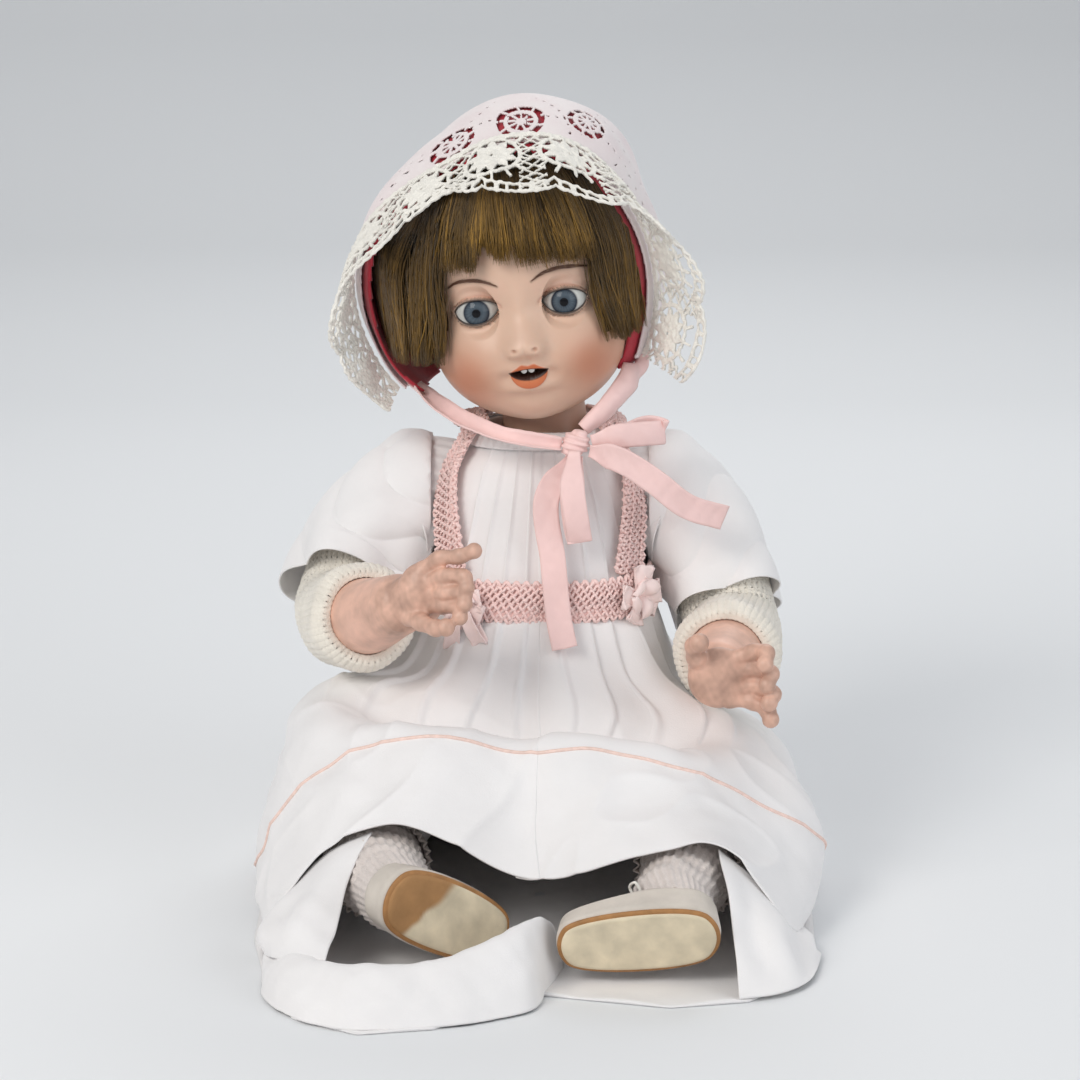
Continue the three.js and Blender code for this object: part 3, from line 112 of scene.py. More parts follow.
def smoothstep(x, a, b):
    t = np.clip((x - a) / (b - a), 0, 1)
    return t * t * (3 - 2 * t)


def unit(v):
    return v / np.maximum(np.linalg.norm(v, axis=-1, keepdims=True), 1e-9)


def smooth_grid(coarse, rows, columns):
    across = [curve(row)(np.linspace(0, 1, columns)) for row in coarse]
    down = np.linspace(0, 1, rows)
    return np.stack([curve([row[j] for row in across])(down) for j in range(columns)], axis=1)


def grid_normals(grid, wrap=False):
    if wrap:
        over = np.roll(grid, -1, 1) - np.roll(grid, 1, 1)
    else:
        over = np.gradient(grid, axis=1)
    return unit(np.cross(np.gradient(grid, axis=0), over))


def grid_faces(rows, columns, wrap=False, start=0):
    i, j = np.meshgrid(np.arange(rows - 1), np.arange(columns if wrap else columns - 1), indexing="ij")
    k = (j + 1) % columns
    quads = np.stack([i * columns + j, i * columns + k, (i + 1) * columns + k, (i + 1) * columns + j], -1)
    return quads.reshape(-1, 4) + start


def shell(grid, wall, wrap=False):
    """Closed sheet: the grid, the grid moved out by the wall, and the rims between them."""
    rows, columns = grid.shape[:2]
    outer = grid + grid_normals(grid, wrap) * wall
    points = np.concatenate([grid.reshape(-1, 3), outer.reshape(-1, 3)])
    top = rows * columns
    faces = [grid_faces(rows, columns, wrap), grid_faces(rows, columns, wrap, top)[:, ::-1]]

    def rim(line):
        a = np.asarray(line)
        b = np.roll(a, -1) if wrap and len(a) == columns else a[1:]
        a = a[: len(b)]
        return np.stack([a, a + top, b + top, b], -1)

    faces.append(rim(range(columns)))
    faces.append(rim(range((rows - 1) * columns, rows * columns))[:, ::-1])
    if not wrap:
        faces.append(rim(range(0, rows * columns, columns))[:, ::-1])
        faces.append(rim(range(columns - 1, rows * columns, columns)))
    return points, np.concatenate(faces)


def capped(grid, tips=None):
    """Closes the ends of a tube grid, at the tips given or at the middles of its end rings."""
    rows, columns = grid.shape[:2]
    if tips is None:
        tips = np.array([grid[0].mean(0), grid[-1].mean(0)])
    points = np.concatenate([grid.reshape(-1, 3), tips])
    k = np.arange(columns)
    following = (k + 1) % columns
    last = (rows - 1) * columns
    start = np.stack([np.full(columns, rows * columns), following, k, k], -1)
    end = np.stack([np.full(columns, rows * columns + 1), last + k, last + following, last + following], -1)
    return points, np.concatenate([grid_faces(rows, columns, True), start, end])


def tube_grid(path, radius, sides):
    """Rings round the points of a path. The radius may change along it."""
    path = np.asarray(path, float)
    along = unit(np.gradient(path, axis=0))
    guess = np.array([0.31, 0.22, 0.92])
    side = unit(guess - along * np.sum(guess * along, 1, keepdims=True))
    up = np.cross(along, side)
    a = circle(sides)[None, :, None]
    r = np.broadcast_to(np.asarray(radius, float), (len(path),))[:, None, None]
    return path[:, None] + r * (np.cos(a) * side[:, None] + np.sin(a) * up[:, None])


def tube(path, radius, sides=6):
    return capped(tube_grid(path, radius, sides), np.asarray(path, float)[[0, -1]])


def ball(centre, semi, around=32, rings=20):
    polar = np.linspace(0, np.pi, rings)[1:-1]
    a = circle(around)
    turned = np.stack([np.sin(polar)[:, None] * np.cos(a), np.sin(polar)[:, None] * np.sin(a),
                       np.cos(polar)[:, None] * np.ones(around)], -1) * np.asarray(semi, float)
    tips = np.array([[0, 0, semi[2]], [0, 0, -semi[2]]], float)
    points = np.concatenate([turned.reshape(-1, 3), tips])
    n = len(polar)
    k = np.arange(around)
    following = (k + 1) % around
    low = (n - 1) * around
    top = np.stack([np.full(around, n * around), k, following, following], -1)
    bottom = np.stack([np.full(around, n * around + 1), low + following, low + k, low + k], -1)
    faces = np.concatenate([grid_faces(n, around, True)[:, ::-1], top, bottom])
    return points + np.asarray(centre, float), faces


def gather(parts):
    points, faces, start = [], [], 0
    for p, f in parts:
        points.append(p)
        faces.append(f + start)
        start += len(p)
    return np.concatenate(points), np.concatenate(faces)


def wobble(p, size, seed=0.0):
    """Smooth pseudo-random value from -1 to 1 at each point, with features about size across."""
    q = np.asarray(p, float) / size
    x, y, z = q[..., 0] + seed, q[..., 1] - seed * 0.7, q[..., 2] + seed * 1.3
    a = np.sin(1.9 * x + 1.3 * np.sin(1.1 * y + 0.7 * z)) * np.cos(1.7 * z - 1.2 * np.sin(0.9 * x))
    b = np.sin(2.7 * y + 1.6 * np.sin(1.4 * z + 1.1 * x)) * np.cos(2.3 * x + 0.8 * np.sin(1.7 * y))
    return 0.55 * a + 0.45 * b


# Turning the head's own coordinates into the part's

def turn_about(axis, degrees):
    c, s = math.cos(math.radians(degrees)), math.sin(math.radians(degrees))
    if axis == "Y":
        return np.array([[c, 0, s], [0, 1, 0], [-s, 0, c]])
    return np.array([[c, -s, 0], [s, c, 0], [0, 0, 1]])


TILT = turn_about("Y", -HEAD_TILT)
FACE_TURN = TILT @ turn_about("Z", -HEAD_TURN)


def from_face(p):
    return np.asarray(p, float) @ FACE_TURN.T + NECK


def in_face(made):
    return from_face(made[0]), made[1]


def from_head(p):
    return np.asarray(p, float) @ TILT.T + NECK


def in_head(made):
    return from_head(made[0]), made[1]


def bonnet_shift(p):
    """The bonnet's crown leans to the doll's left, and its opening stands off the head on the right."""
    x = CROWN_LEAN * smoothstep(p[..., 2], CAP_CENTRE[2] + 20, CAP_CENTRE[2] + CAP_SEMI[2])
    x = x - STAND_OFF * smoothstep(-p[..., 0], 25, 55) * smoothstep(-p[..., 1], -10, 25)
    return np.stack([x, 0 * x, 0 * x], -1)


# Materials

NODE_INPUTS = {"rough": "Roughness", "spec": "Specular IOR Level", "sheen": "Sheen Weight",
               "coat": "Coat Weight", "scatter": "Subsurface Weight"}


def add_node(tree, kind, links=(), **values):
    """Adds a shader node, with values for its inputs and links into them."""
    new = tree.nodes.new("ShaderNode" + kind)
    for name, value in values.items():
        new.inputs[name.replace("_", " ")].default_value = value
    for source, name in links:
        tree.links.new(source, new.inputs[name])
    return new


def surface(name, color, rough=0.8, vary=0.07, scale=45.0, bump=(), paint=False, second=None, **looks):
    """Material with a soft change of tone, and one bump layer for each kind, size, height and strength."""
    mat = bpy.data.materials.new(name)
    mat.use_nodes = True
    tree = mat.node_tree
    shader = tree.nodes["Principled BSDF"]
    for look, value in dict(looks, rough=rough).items():
        shader.inputs[NODE_INPUTS[look]].default_value = value
    if "scatter" in looks:
        shader.inputs["Subsurface Radius"].default_value = (1.0, 0.45, 0.3)
        shader.inputs["Subsurface Scale"].default_value = 0.002
    place = tree.nodes.new("ShaderNodeTexCoord").outputs["Object"]
    noise = add_node(tree, "TexNoise", [(place, "Vector")], Scale=scale, Detail=5.0)
    spread = add_node(tree, "MapRange", [(noise.outputs["Fac"], "Value")], From_Min=0.32, From_Max=0.68)
    mix = tree.nodes.new("ShaderNodeMix")
    mix.data_type = "RGBA"
    tree.links.new(spread.outputs["Result"], mix.inputs["Factor"])
    if paint:
        attribute = tree.nodes.new("ShaderNodeAttribute")
        attribute.attribute_name = "paint"
        mix.blend_type = "MULTIPLY"
        tree.links.new(attribute.outputs["Color"], mix.inputs["A"])
        mix.inputs["B"].default_value = (1 - vary, 1 - vary, 1 - vary, 1)
    else:
        mix.inputs["A"].default_value = (*(second or (c * (1 - vary) for c in color)), 1)
        mix.inputs["B"].default_value = (*color, 1)
    tree.links.new(mix.outputs["Result"], shader.inputs["Base Color"])
    below = None
    for kind, size, height, strength in bump:
        values = dict(Scale=size, Detail=4.0) if kind == "Noise" else dict(Scale=size)
        grain = add_node(tree, "Tex" + kind, [(place, "Vector")], **values)
        links = [(grain.outputs["Fac" if kind == "Noise" else "Distance"], "Height")]
        if below:
            links.append((below.outputs["Normal"], "Normal"))
        below = add_node(tree, "Bump", links, Strength=strength, Distance=height * MM)
    if below:
        tree.links.new(below.outputs["Normal"], shader.inputs["Normal"])
    return mat


# Colour, roughness, change of tone, size of that change, bump layers, and what else the material has
NOISE, CELLS = "Noise", "Voronoi"
WHITE = (0.87, 0.85, 0.845)
M = {
    "skin": surface("tinted_bisque", (0.65, 0.45, 0.34), 0.42, 0.03, 130, [(NOISE, 900, 0.05, 0.25)],
                    paint=True, scatter=0.12, spec=0.4),
    "brow": surface("brow_paint", (0.13, 0.055, 0.03), 0.5, 0.2, 300),
    "lash": surface("lash_paint", (0.10, 0.07, 0.055), 0.5, 0.2, 300),
    "white_eye": surface("eye_glass", (0.6, 0.6, 0.58), 0.07, 0.02, 60, coat=0.05, spec=0.16, paint=True),
    "tooth": surface("tooth_enamel", (0.85, 0.83, 0.8), 0.18, 0.04, 200, coat=0.5),
    "felt": surface("tongue_felt", (0.30, 0.05, 0.03), 0.9, 0.3, 400),
    "hair": surface("wig_hair", (0.13, 0.062, 0.012), 0.5, 0.3, 90, paint=True, spec=0.25, sheen=0.1),
    # Near-black hair under the strands: painted shade deep in the hair
    "shaded_hair_base": surface("wig_base_painted_shade", (0.05, 0.022, 0.005), 0.7, 0.4, 300, [(NOISE, 700, 0.4, 0.8)]),
    "lace": surface("bonnet_lace", (0.90, 0.87, 0.80), 0.85, 0.12, 220,
                    [(NOISE, 1500, 0.35, 0.8), (CELLS, 900, 0.3, 0.5)], sheen=0.2),
    # White lawn tinted pink: painted light of the red lining showing through the thin cloth
    "lawn": surface("bonnet_lawn_pink_lining_light", (0.83, 0.77, 0.76), 0.85, 0.08, 60,
                    [(NOISE, 1600, 0.2, 0.5), (NOISE, 130, 0.6, 0.25)], sheen=0.2, second=(0.80, 0.70, 0.70)),
    "red": surface("red_lining", (0.46, 0.010, 0.030), 0.6, 0.25, 150, [(NOISE, 900, 0.25, 0.6)], sheen=0.25),
    "rosette": surface("rosette_silk", (0.95, 0.77, 0.74), 0.5, 0.06, 60, [(NOISE, 1200, 0.1, 0.35)],
                       sheen=0.3, spec=0.4),
    "ribbon": surface("pink_ribbon", (0.91, 0.64, 0.61), 0.5, 0.09, 60, [(NOISE, 1200, 0.1, 0.35)],
                      sheen=0.3, spec=0.4),
    "braid": surface("pink_braid", (0.98, 0.74, 0.70), 0.85, 0.08, 260, [(NOISE, 1600, 0.3, 0.9)],
                     sheen=0.25, second=(0.97, 0.68, 0.64)),
    "cotton": surface("white_cotton", WHITE, 0.88, 0.05, 28,
                      [(NOISE, 1500, 0.16, 0.5), (NOISE, 150, 0.7, 0.22), (NOISE, 45, 1.6, 0.18)], sheen=0.2),
    "knit": surface("cream_knit", (0.91, 0.85, 0.75), 0.95, 0.12, 110, [(NOISE, 1300, 0.5, 0.9)], sheen=0.35),
    "paste": surface("composition_skin", (0.60, 0.33, 0.24), 0.42, 0.28, 90,
                     [(NOISE, 240, 0.7, 0.35), (NOISE, 1100, 0.2, 0.45)], paint=True, spec=0.45),
    "sock": surface("white_sock", (0.78, 0.70, 0.655), 0.9, 0.14, 120,
                    [(NOISE, 1200, 0.5, 0.9), (CELLS, 520, 0.6, 0.5)], sheen=0.3),
    "upper": surface("shoe_kid", (0.66, 0.60, 0.53), 0.55, 0.16, 90,
                     [(CELLS, 800, 0.15, 0.4), (NOISE, 240, 0.4, 0.3)]),
    "sole": surface("sole_leather", (0.66, 0.55, 0.38), 0.75, 0.2, 110,
                    [(NOISE, 500, 0.3, 0.5), (NOISE, 1500, 0.15, 0.5)], paint=True),
    "welt": surface("welt_leather", (0.42, 0.20, 0.065), 0.6, 0.3, 200, [(NOISE, 700, 0.3, 0.5)]),
    "pearl": surface("button_pearl", (0.78, 0.75, 0.70), 0.2, 0.06, 300, coat=0.6),
    "pink_line": surface("hem_thread", (0.93, 0.70, 0.62), 0.85, 0.15, 400),
}


def colored(mesh, colors):
    layer = mesh.color_attributes.new("paint", "FLOAT_COLOR", "POINT")
    flat = np.ones((len(colors), 4), np.float32)
    flat[:, :3] = colors
    layer.data.foreach_set("color", flat.ravel())


def piece(name, made, mat, body, replaces=(), paint=None):
    """Adds a mesh to the scene and ties it to a body of the part, if one is named."""
    points, faces = made
    tri = faces[:, 2] == faces[:, 3]
    mesh = bpy.data.meshes.new(name)
    loops = np.concatenate([faces[~tri].ravel(), faces[tri][:, :3].ravel()]).astype(np.int32)
    counts = np.concatenate([np.full((~tri).sum(), 4), np.full(tri.sum(), 3)])
    mesh.vertices.add(len(points))
    mesh.vertices.foreach_set("co", (points * MM).astype(np.float32).ravel())
    mesh.loops.add(len(loops))
    mesh.loops.foreach_set("vertex_index", loops)
    mesh.polygons.add(len(counts))
    mesh.polygons.foreach_set("loop_start", np.concatenate([[0], np.cumsum(counts)[:-1]]).astype(np.int32))
    mesh.update(calc_edges=True)
    mesh.validate()
    if paint is not None:
        colored(mesh, paint)
    mesh.polygons.foreach_set("use_smooth", np.full(len(mesh.polygons), True))
    obj = bpy.data.objects.new(name, mesh)
    bpy.context.scene.collection.objects.link(obj)
    mesh.materials.append(M[mat])
    if replaces:
        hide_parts(*replaces)
    if body:
        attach(obj, body)
    return obj


def remeshed(name, parts, voxel, smoothing=6):
    """One smooth closed surface over several overlapping ones."""
    points, faces = gather(parts)
    mesh = bpy.data.meshes.new(name + "_raw")
    mesh.from_pydata((points * MM).tolist(), [], [tuple(dict.fromkeys(f)) for f in faces.tolist()])
    mesh.update()
    obj = bpy.data.objects.new(name + "_raw", mesh)
    bpy.context.scene.collection.objects.link(obj)
    remesh = obj.modifiers.new("remesh", "REMESH")
    remesh.mode = "VOXEL"
    remesh.voxel_size = voxel * MM
    soften = obj.modifiers.new("soften", "SMOOTH")
    soften.factor = 0.5
    soften.iterations = smoothing
    graph = bpy.context.evaluated_depsgraph_get()
    done = obj.evaluated_get(graph).to_mesh()
    count = len(done.vertices)
    out = np.empty(count * 3, np.float32)
    done.vertices.foreach_get("co", out)
    quads = [list(f.vertices) for f in done.polygons]
    quads = np.array([q if len(q) == 4 else q + q[-1:] for q in quads])
    obj.evaluated_get(graph).to_mesh_clear()
    bpy.data.objects.remove(obj)
    bpy.data.meshes.remove(mesh)
    return out.reshape(-1, 3).astype(float) / MM, quads


# Camera, light and floor

PICTURE_PIXELS, FOCAL_PIXELS = 1080, 3478
CAMERA_LIFT, CAMERA_DISTANCE = 12, 1.6
# Depth and height of the paper's rows in metres: flat in front, and curving up behind
FLOOR_ROWS = [(-8, 0), (-2.5, 0), (-1, 0), (0, 0), (1.2, 0), (1.7, 0.06), (2.0, 0.24), (2.15, 0.55),
              (2.2, 2.4)]


def camera():
    data = bpy.data.cameras.new("camera")
    data.sensor_fit = "HORIZONTAL"
    data.sensor_width = 36
    data.lens = 36 * FOCAL_PIXELS / PICTURE_PIXELS
    obj = bpy.data.objects.new("camera", data)
    bpy.context.scene.collection.objects.link(obj)
    lift = math.radians(CAMERA_LIFT)
    target = Vector((0, 0, 0.140))
    obj.location = target + Vector((0, -math.cos(lift), math.sin(lift))) * CAMERA_DISTANCE
    obj.rotation_euler = (target - obj.location).to_track_quat("-Z", "Y").to_euler()
    bpy.context.scene.camera = obj


def lamp(name, place, size, power, color=(1, 1, 1)):
    data = bpy.data.lights.new(name, "AREA")
    data.shape = "RECTANGLE"
    data.size, data.size_y = size
    data.energy = power
    data.color = color
    obj = bpy.data.objects.new(name, data)
    bpy.context.scene.collection.objects.link(obj)
    obj.location = place
    obj.rotation_euler = (Vector((0, -0.02, 0.16)) - Vector(place)).to_track_quat("-Z", "Y").to_euler()


def studio():
    bpy.context.scene.view_settings.view_transform = "Standard"
    world = bpy.data.worlds.new("studio")
    bpy.context.scene.world = world
    world.use_nodes = True
    tree = world.node_tree
    tree.nodes.clear()
    path = tree.nodes.new("ShaderNodeLightPath")
    lit = add_node(tree, "Background", Color=(0.93, 0.96, 1.0, 1), Strength=0.42)
    seen = add_node(tree, "Background", Color=(0.80, 0.81, 0.83, 1), Strength=1.0)
    most = add_node(tree, "Math", [(path.outputs["Is Camera Ray"], 0), (path.outputs["Is Glossy Ray"], 1)])
    most.operation = "MAXIMUM"
    mix = add_node(tree, "MixShader", [(most.outputs[0], "Fac"), (lit.outputs[0], 1), (seen.outputs[0], 2)])
    add_node(tree, "OutputWorld", [(mix.outputs[0], "Surface")])
    lamp("key", (-1.0, -1.3, 1.25), (0.9, 0.9), 19, (1.0, 0.975, 0.94))
    lamp("fill", (1.3, -1.1, 0.8), (1.2, 1.2), 8.5, (0.94, 0.97, 1.0))
    lamp("back", (0.2, 1.2, 1.3), (1.2, 0.8), 9)
    mesh = bpy.data.meshes.new("floor")
    across = np.linspace(-5.5, 5.5, 24)
    points = [(x, y, z - 0.0002) for y, z in FLOOR_ROWS for x in across]
    mesh.from_pydata(points, [], grid_faces(len(FLOOR_ROWS), len(across))[:, ::-1].tolist())
    mesh.polygons.foreach_set("use_smooth", np.full(len(mesh.polygons), True))
    floor = bpy.data.objects.new("floor", mesh)
    bpy.context.scene.collection.objects.link(floor)
    mat = bpy.data.materials.new("floor_paper")
    mat.use_nodes = True
    shader = mat.node_tree.nodes["Principled BSDF"]
    shader.inputs["Base Color"].default_value = (0.80, 0.81, 0.82, 1)
    shader.inputs["Roughness"].default_value = 0.9
    mesh.materials.append(mat)


camera()
studio()


# Head

def ray_to(direction, part, grow=0.0):
    centre, semi = part
    s = semi + grow
    offset = (HEAD_CENTRE - centre) / s
    d = direction / s
    a = np.sum(d * d, -1)
    b = np.sum(offset * d, -1)
    return (-b + np.sqrt(np.maximum(b * b - a * (np.sum(offset * offset) - 1), 0))) / a


# Soft forms of the face, alike on both sides: x, z, half width, half height, rise
FEATURES = [
    (0, 65, 4.6, 10, 2.4), (0, 54.5, 4.6, 4.8, 7.2), (5.4, 52.4, 2.7, 2.6, 3.2), (0, 47.6, 1.5, 2.2, -0.7),
    (19, 45, 13, 12, 4.3), (19.3, 68, 10.5, 7, -3.0), (0, 43.6, 6.6, 2.3, 1.5), (0, 34.6, 6.2, 2.4, 2.6),
    (9.6, 39.3, 2.2, 2.2, -1.4), (0, 30.6, 8, 2, -1.4), (0, 22.5, 9.5, 7, 4.4), (0, 92, 34, 18, 1.6),
    (12, 60, 4, 5, -0.7), (30, 58, 9, 9, 1.2),
]


EYE_HALF, MOUTH_HALF = 8.6, 8.4
UPPER_LID, LOWER_LID = (4.15, 0.72), (5.95, 0.62)
UPPER_LIP, LOWER_LIP = (1.3, 0.7), (3.4, 0.8)
LID_BALL = 11.9
NOSTRIL = (4.7, 50.4)
BROWS = [((-32.0, 79.2), (-27, 81.8), (-20, 82.6), (-13.5, 81.2), (-8.6, 78.8)),
         ((6.6, 79.2), (12, 82.0), (19, 83.2), (26, 82.6), (32.2, 81.4))]


def beyond_edge(across, rise, half, upper, lower):
    """How far a place lies outside an opening of that half width between two arches."""
    t = np.clip(across / half, -1, 1)
    arch = np.maximum(1 - t * t, 0)
    over = np.abs(rise) - np.where(rise > 0, upper[0] * arch ** upper[1], lower[0] * arch ** lower[1])
    beyond = np.maximum(np.abs(across) - half, 0)
    return np.where(beyond > 0, np.hypot(beyond, np.maximum(over, 0)), over)


def eye_edge(x, z):
    """How far a point of the face lies outside the edge of the nearer eye opening."""
    return beyond_edge(np.abs(x) - EYE[0], z - (EYE[2] + 0.9), EYE_HALF, UPPER_LID, LOWER_LID)


def mouth_edge(x, z):
    """How far a point lies outside the open mouth."""
    return beyond_edge(x, z - (MOUTH + 0.5), MOUTH_HALF, UPPER_LIP, LOWER_LIP)


def lip_mask(x, z):
    """1 on the painted lips, 0 off them."""
    t = np.clip(x / 8.8, -1, 1)
    arch = np.maximum(1 - t * t, 0)
    bow = 3.2 * arch ** 0.75 + 0.9 * np.exp(-((np.abs(x) - 2.9) / 1.7) ** 2) - 0.2
    top = MOUTH + 0.5 + bow
    bottom = MOUTH + 0.4 - 7.6 * np.maximum(1 - (x / 8.3) ** 2, 0) ** 0.5
    inside = np.minimum(top - z, z - bottom)
    return smoothstep(inside, -0.25, 0.35) * (np.abs(x) < 8.8)


def head_surface(direction, grow=0.0, carve=True):
    """Points of the head in each direction from its centre, with or without its openings."""
    a, b = ray_to(direction, SKULL, grow), ray_to(direction, JAW, grow)
    h = np.maximum(7 - np.abs(a - b), 0) / 7
    r = np.maximum(a, b) + h * h * 7 / 4
    front = smoothstep(-direction[..., 1], 0.15, 0.6)
    p = HEAD_CENTRE + direction * r[..., None]
    x, z = p[..., 0], p[..., 2]
    relief = sum(rise * np.exp(-((np.abs(x) - x0) ** 2 / (2 * wide ** 2) + (z - z0) ** 2 / (2 * tall ** 2)))
                 for x0, z0, wide, tall, rise in FEATURES)
    r = r + front * relief
    if not carve:
        return HEAD_CENTRE + direction * r[..., None]
    p = HEAD_CENTRE + direction * r[..., None]
    x, z = p[..., 0], p[..., 2]
    facing = direction[..., 1] < -0.3
    lids = eye_edge(x, z)
    centre = EYE * np.stack([np.sign(x + 1e-9), np.ones_like(x), np.ones_like(x)], -1)
    offset = HEAD_CENTRE - centre
    around = np.sum(offset * direction, -1)
    inside = np.maximum(around ** 2 - (np.sum(offset * offset, -1) - LID_BALL ** 2), 0)
    on_ball = -around + np.sqrt(inside)
    follow = (1 - smoothstep(lids, 0.7, 7.5)) * (inside > 0) * facing
    r = r * (1 - follow) + np.maximum(on_ball, r * 0.9) * follow
    crease = 0.3 * np.exp(-((lids - 2.3) / 0.7) ** 2) * (z > EYE[2])
    r = r + facing * (0.22 * np.exp(-((lids - 0.9) / 0.7) ** 2) - crease)
    r = r - facing * 9.5 * smoothstep(-lids, -0.05, 0.55)
    lips = lip_mask(x, z)
    r = r + facing * 0.5 * lips
    r = r - facing * 9.0 * smoothstep(-mouth_edge(x, z), -0.05, 0.6)
    nostril = np.hypot((np.abs(x) - NOSTRIL[0]) / 1.3, (z - NOSTRIL[1]) / 0.9)
    r = r - facing * 1.2 * np.exp(-nostril ** 2)
    return HEAD_CENTRE + direction * r[..., None]


def face_paint(p):
    x, z = p[:, 0], p[:, 2]
    front = p[:, 1] < -20
    color = np.tile(np.array([0.70, 0.475, 0.355]), (len(p), 1))

    def tint(amount, rgb):
        nonlocal color
        a = np.clip(amount, 0, 1)[:, None]
        color = color * (1 - a) + np.array(rgb) * a

    ax = np.abs(x)
    tint(0.85 * np.exp(-(((ax - 28.5) / 13.5) ** 2 + ((z - 38.5) / 14) ** 2) ** 1.1), (0.52, 0.19, 0.10))
    # Painted highlight: a lighter patch on the tip of the nose
    tint(0.25 * np.exp(-((x / 6) ** 2 + ((z - 54) / 7) ** 2)), (0.74, 0.50, 0.39))
    tint(0.35 * np.exp(-((x / 14) ** 2 + ((z - 24) / 9) ** 2)), (0.70, 0.44, 0.33))
    tint(0.30 * np.exp(-((ax - 19) / 13) ** 2 - ((z - 77) / 4) ** 2), (0.70, 0.42, 0.33))
    lids = eye_edge(x, z)
    # Pinkish line along the lid crease: the doll's own lid paint, also darkened as the crease's painted shade
    tint(0.5 * np.exp(-((lids - 2.3) / 0.7) ** 2) * (z > 69) * front, (0.52, 0.25, 0.18))
    tint(0.95 * smoothstep(-lids, -0.95, -0.3) * front, (0.035, 0.027, 0.025))
    tint(lip_mask(x, z) * front, (0.56, 0.15, 0.06))
    # Painted highlight: a lighter band along the top of the lower lip
    tint(0.55 * np.exp(-((x / 6) ** 2 + ((z - 36.2) / 1.6) ** 2)) * lip_mask(x, z) * front,
         (0.66, 0.24, 0.10))
    # The open mouth and its inner walls painted near-black: the inside's own dark red, with the shade inside
    # the mouth painted in
    tint(smoothstep(-mouth_edge(x, z), -0.7, -0.2) * front, (0.035, 0.010, 0.005))
    nostril = np.hypot((ax - NOSTRIL[0]) / 1.3, (z - NOSTRIL[1]) / 0.8)
    tint(0.7 * np.exp(-nostril ** 2) * front, (0.33, 0.13, 0.07))
    for path in BROWS:
        line = curve([(a, 0, b) for a, b in path])(np.linspace(0, 1, 40))
        near = np.full(len(p), 99.0)
        place = np.zeros(len(p))
        for i, q in enumerate(line):
            d = np.hypot(x - q[0], z - q[2])
            place = np.where(d < near, i / 39, place)
            near = np.minimum(near, d)
        width = 0.45 + 0.85 * np.sin(np.pi * np.clip(place, 0.02, 0.98)) ** 0.8
        tint(0.72 * np.exp(-(near / width) ** 2) * front, (0.16, 0.07, 0.04))
    return color


def head_rings(around, rings, detail=4.0):
    """Directions round the head, closer together over the face."""
    def spread(angle, count, amount, middle, width, endpoint):
        density = np.cumsum(1 + amount * np.exp(-(((angle - middle) / width) ** 2)))
        return np.interp(np.linspace(density[0], density[-1], count, endpoint=endpoint), density, angle)

    azimuth = spread(np.linspace(-np.pi, np.pi, 4001), around, detail, 0, 0.68, False)
    polar = spread(np.linspace(0.01, np.pi - 0.01, 4001), rings, 0.55 * detail, 1.77, 0.46, True)
    s, c = np.sin(polar)[:, None], np.cos(polar)[:, None]
    return np.stack([s * np.sin(azimuth), -s * np.cos(azimuth), c * np.ones_like(azimuth)], -1)


CROWN_CUT = 122
# Radius and height of the neck's rings in the head's coordinates
NECK_STEM = [(19.5, 26), (19, 14), (19.2, 6), (20, 1), (20.2, -5), (18.5, -10), (14, -15.5), (8, -18.6)]


def head():
    """Makes the head, and returns its uncut face for placing what lies on it."""
    fine = 1.0
    directions = unit(head_rings(int(560 * fine), int(500 * fine)))
    points = head_surface(directions).reshape(-1, 3)
    faces = grid_faces(*directions.shape[:2], True)
    uncut = head_surface(directions, 0, False).reshape(-1, 3)
    paint = face_paint(uncut)
    open_crown = (points[faces][:, :, 2] > CROWN_CUT).all(1)
    a = circle(72)
    neck = np.array([[(r * math.cos(t), r * math.sin(t), z) for t in a] for r, z in NECK_STEM])
    kept = faces[~open_crown]
    neck_faces = grid_faces(*neck.shape[:2], True)[:, ::-1]
    made = gather([(points, kept), (neck.reshape(-1, 3), neck_faces)])
    colors = np.concatenate([paint, np.tile([0.60, 0.38, 0.28], (neck.size // 3, 1))])
    piece("face_and_neck", in_face(made), "skin", "head", ("bisque_head",), colors)
    return BVHTree.FromPolygons([Vector(p) for p in uncut], [tuple(f) for f in kept.tolist()])


FACE_TREE = head()


def on_face(x, z, lift=0.08):
    """Place on the finished face whose ray passes the uncut face at x and z."""
    hit = FACE_TREE.ray_cast(Vector((x, -150, z)), Vector((0, 1, 0)))[0]
    direction = unit(np.array(hit) - HEAD_CENTRE)
    return head_surface(direction[None])[0] + direction * lift


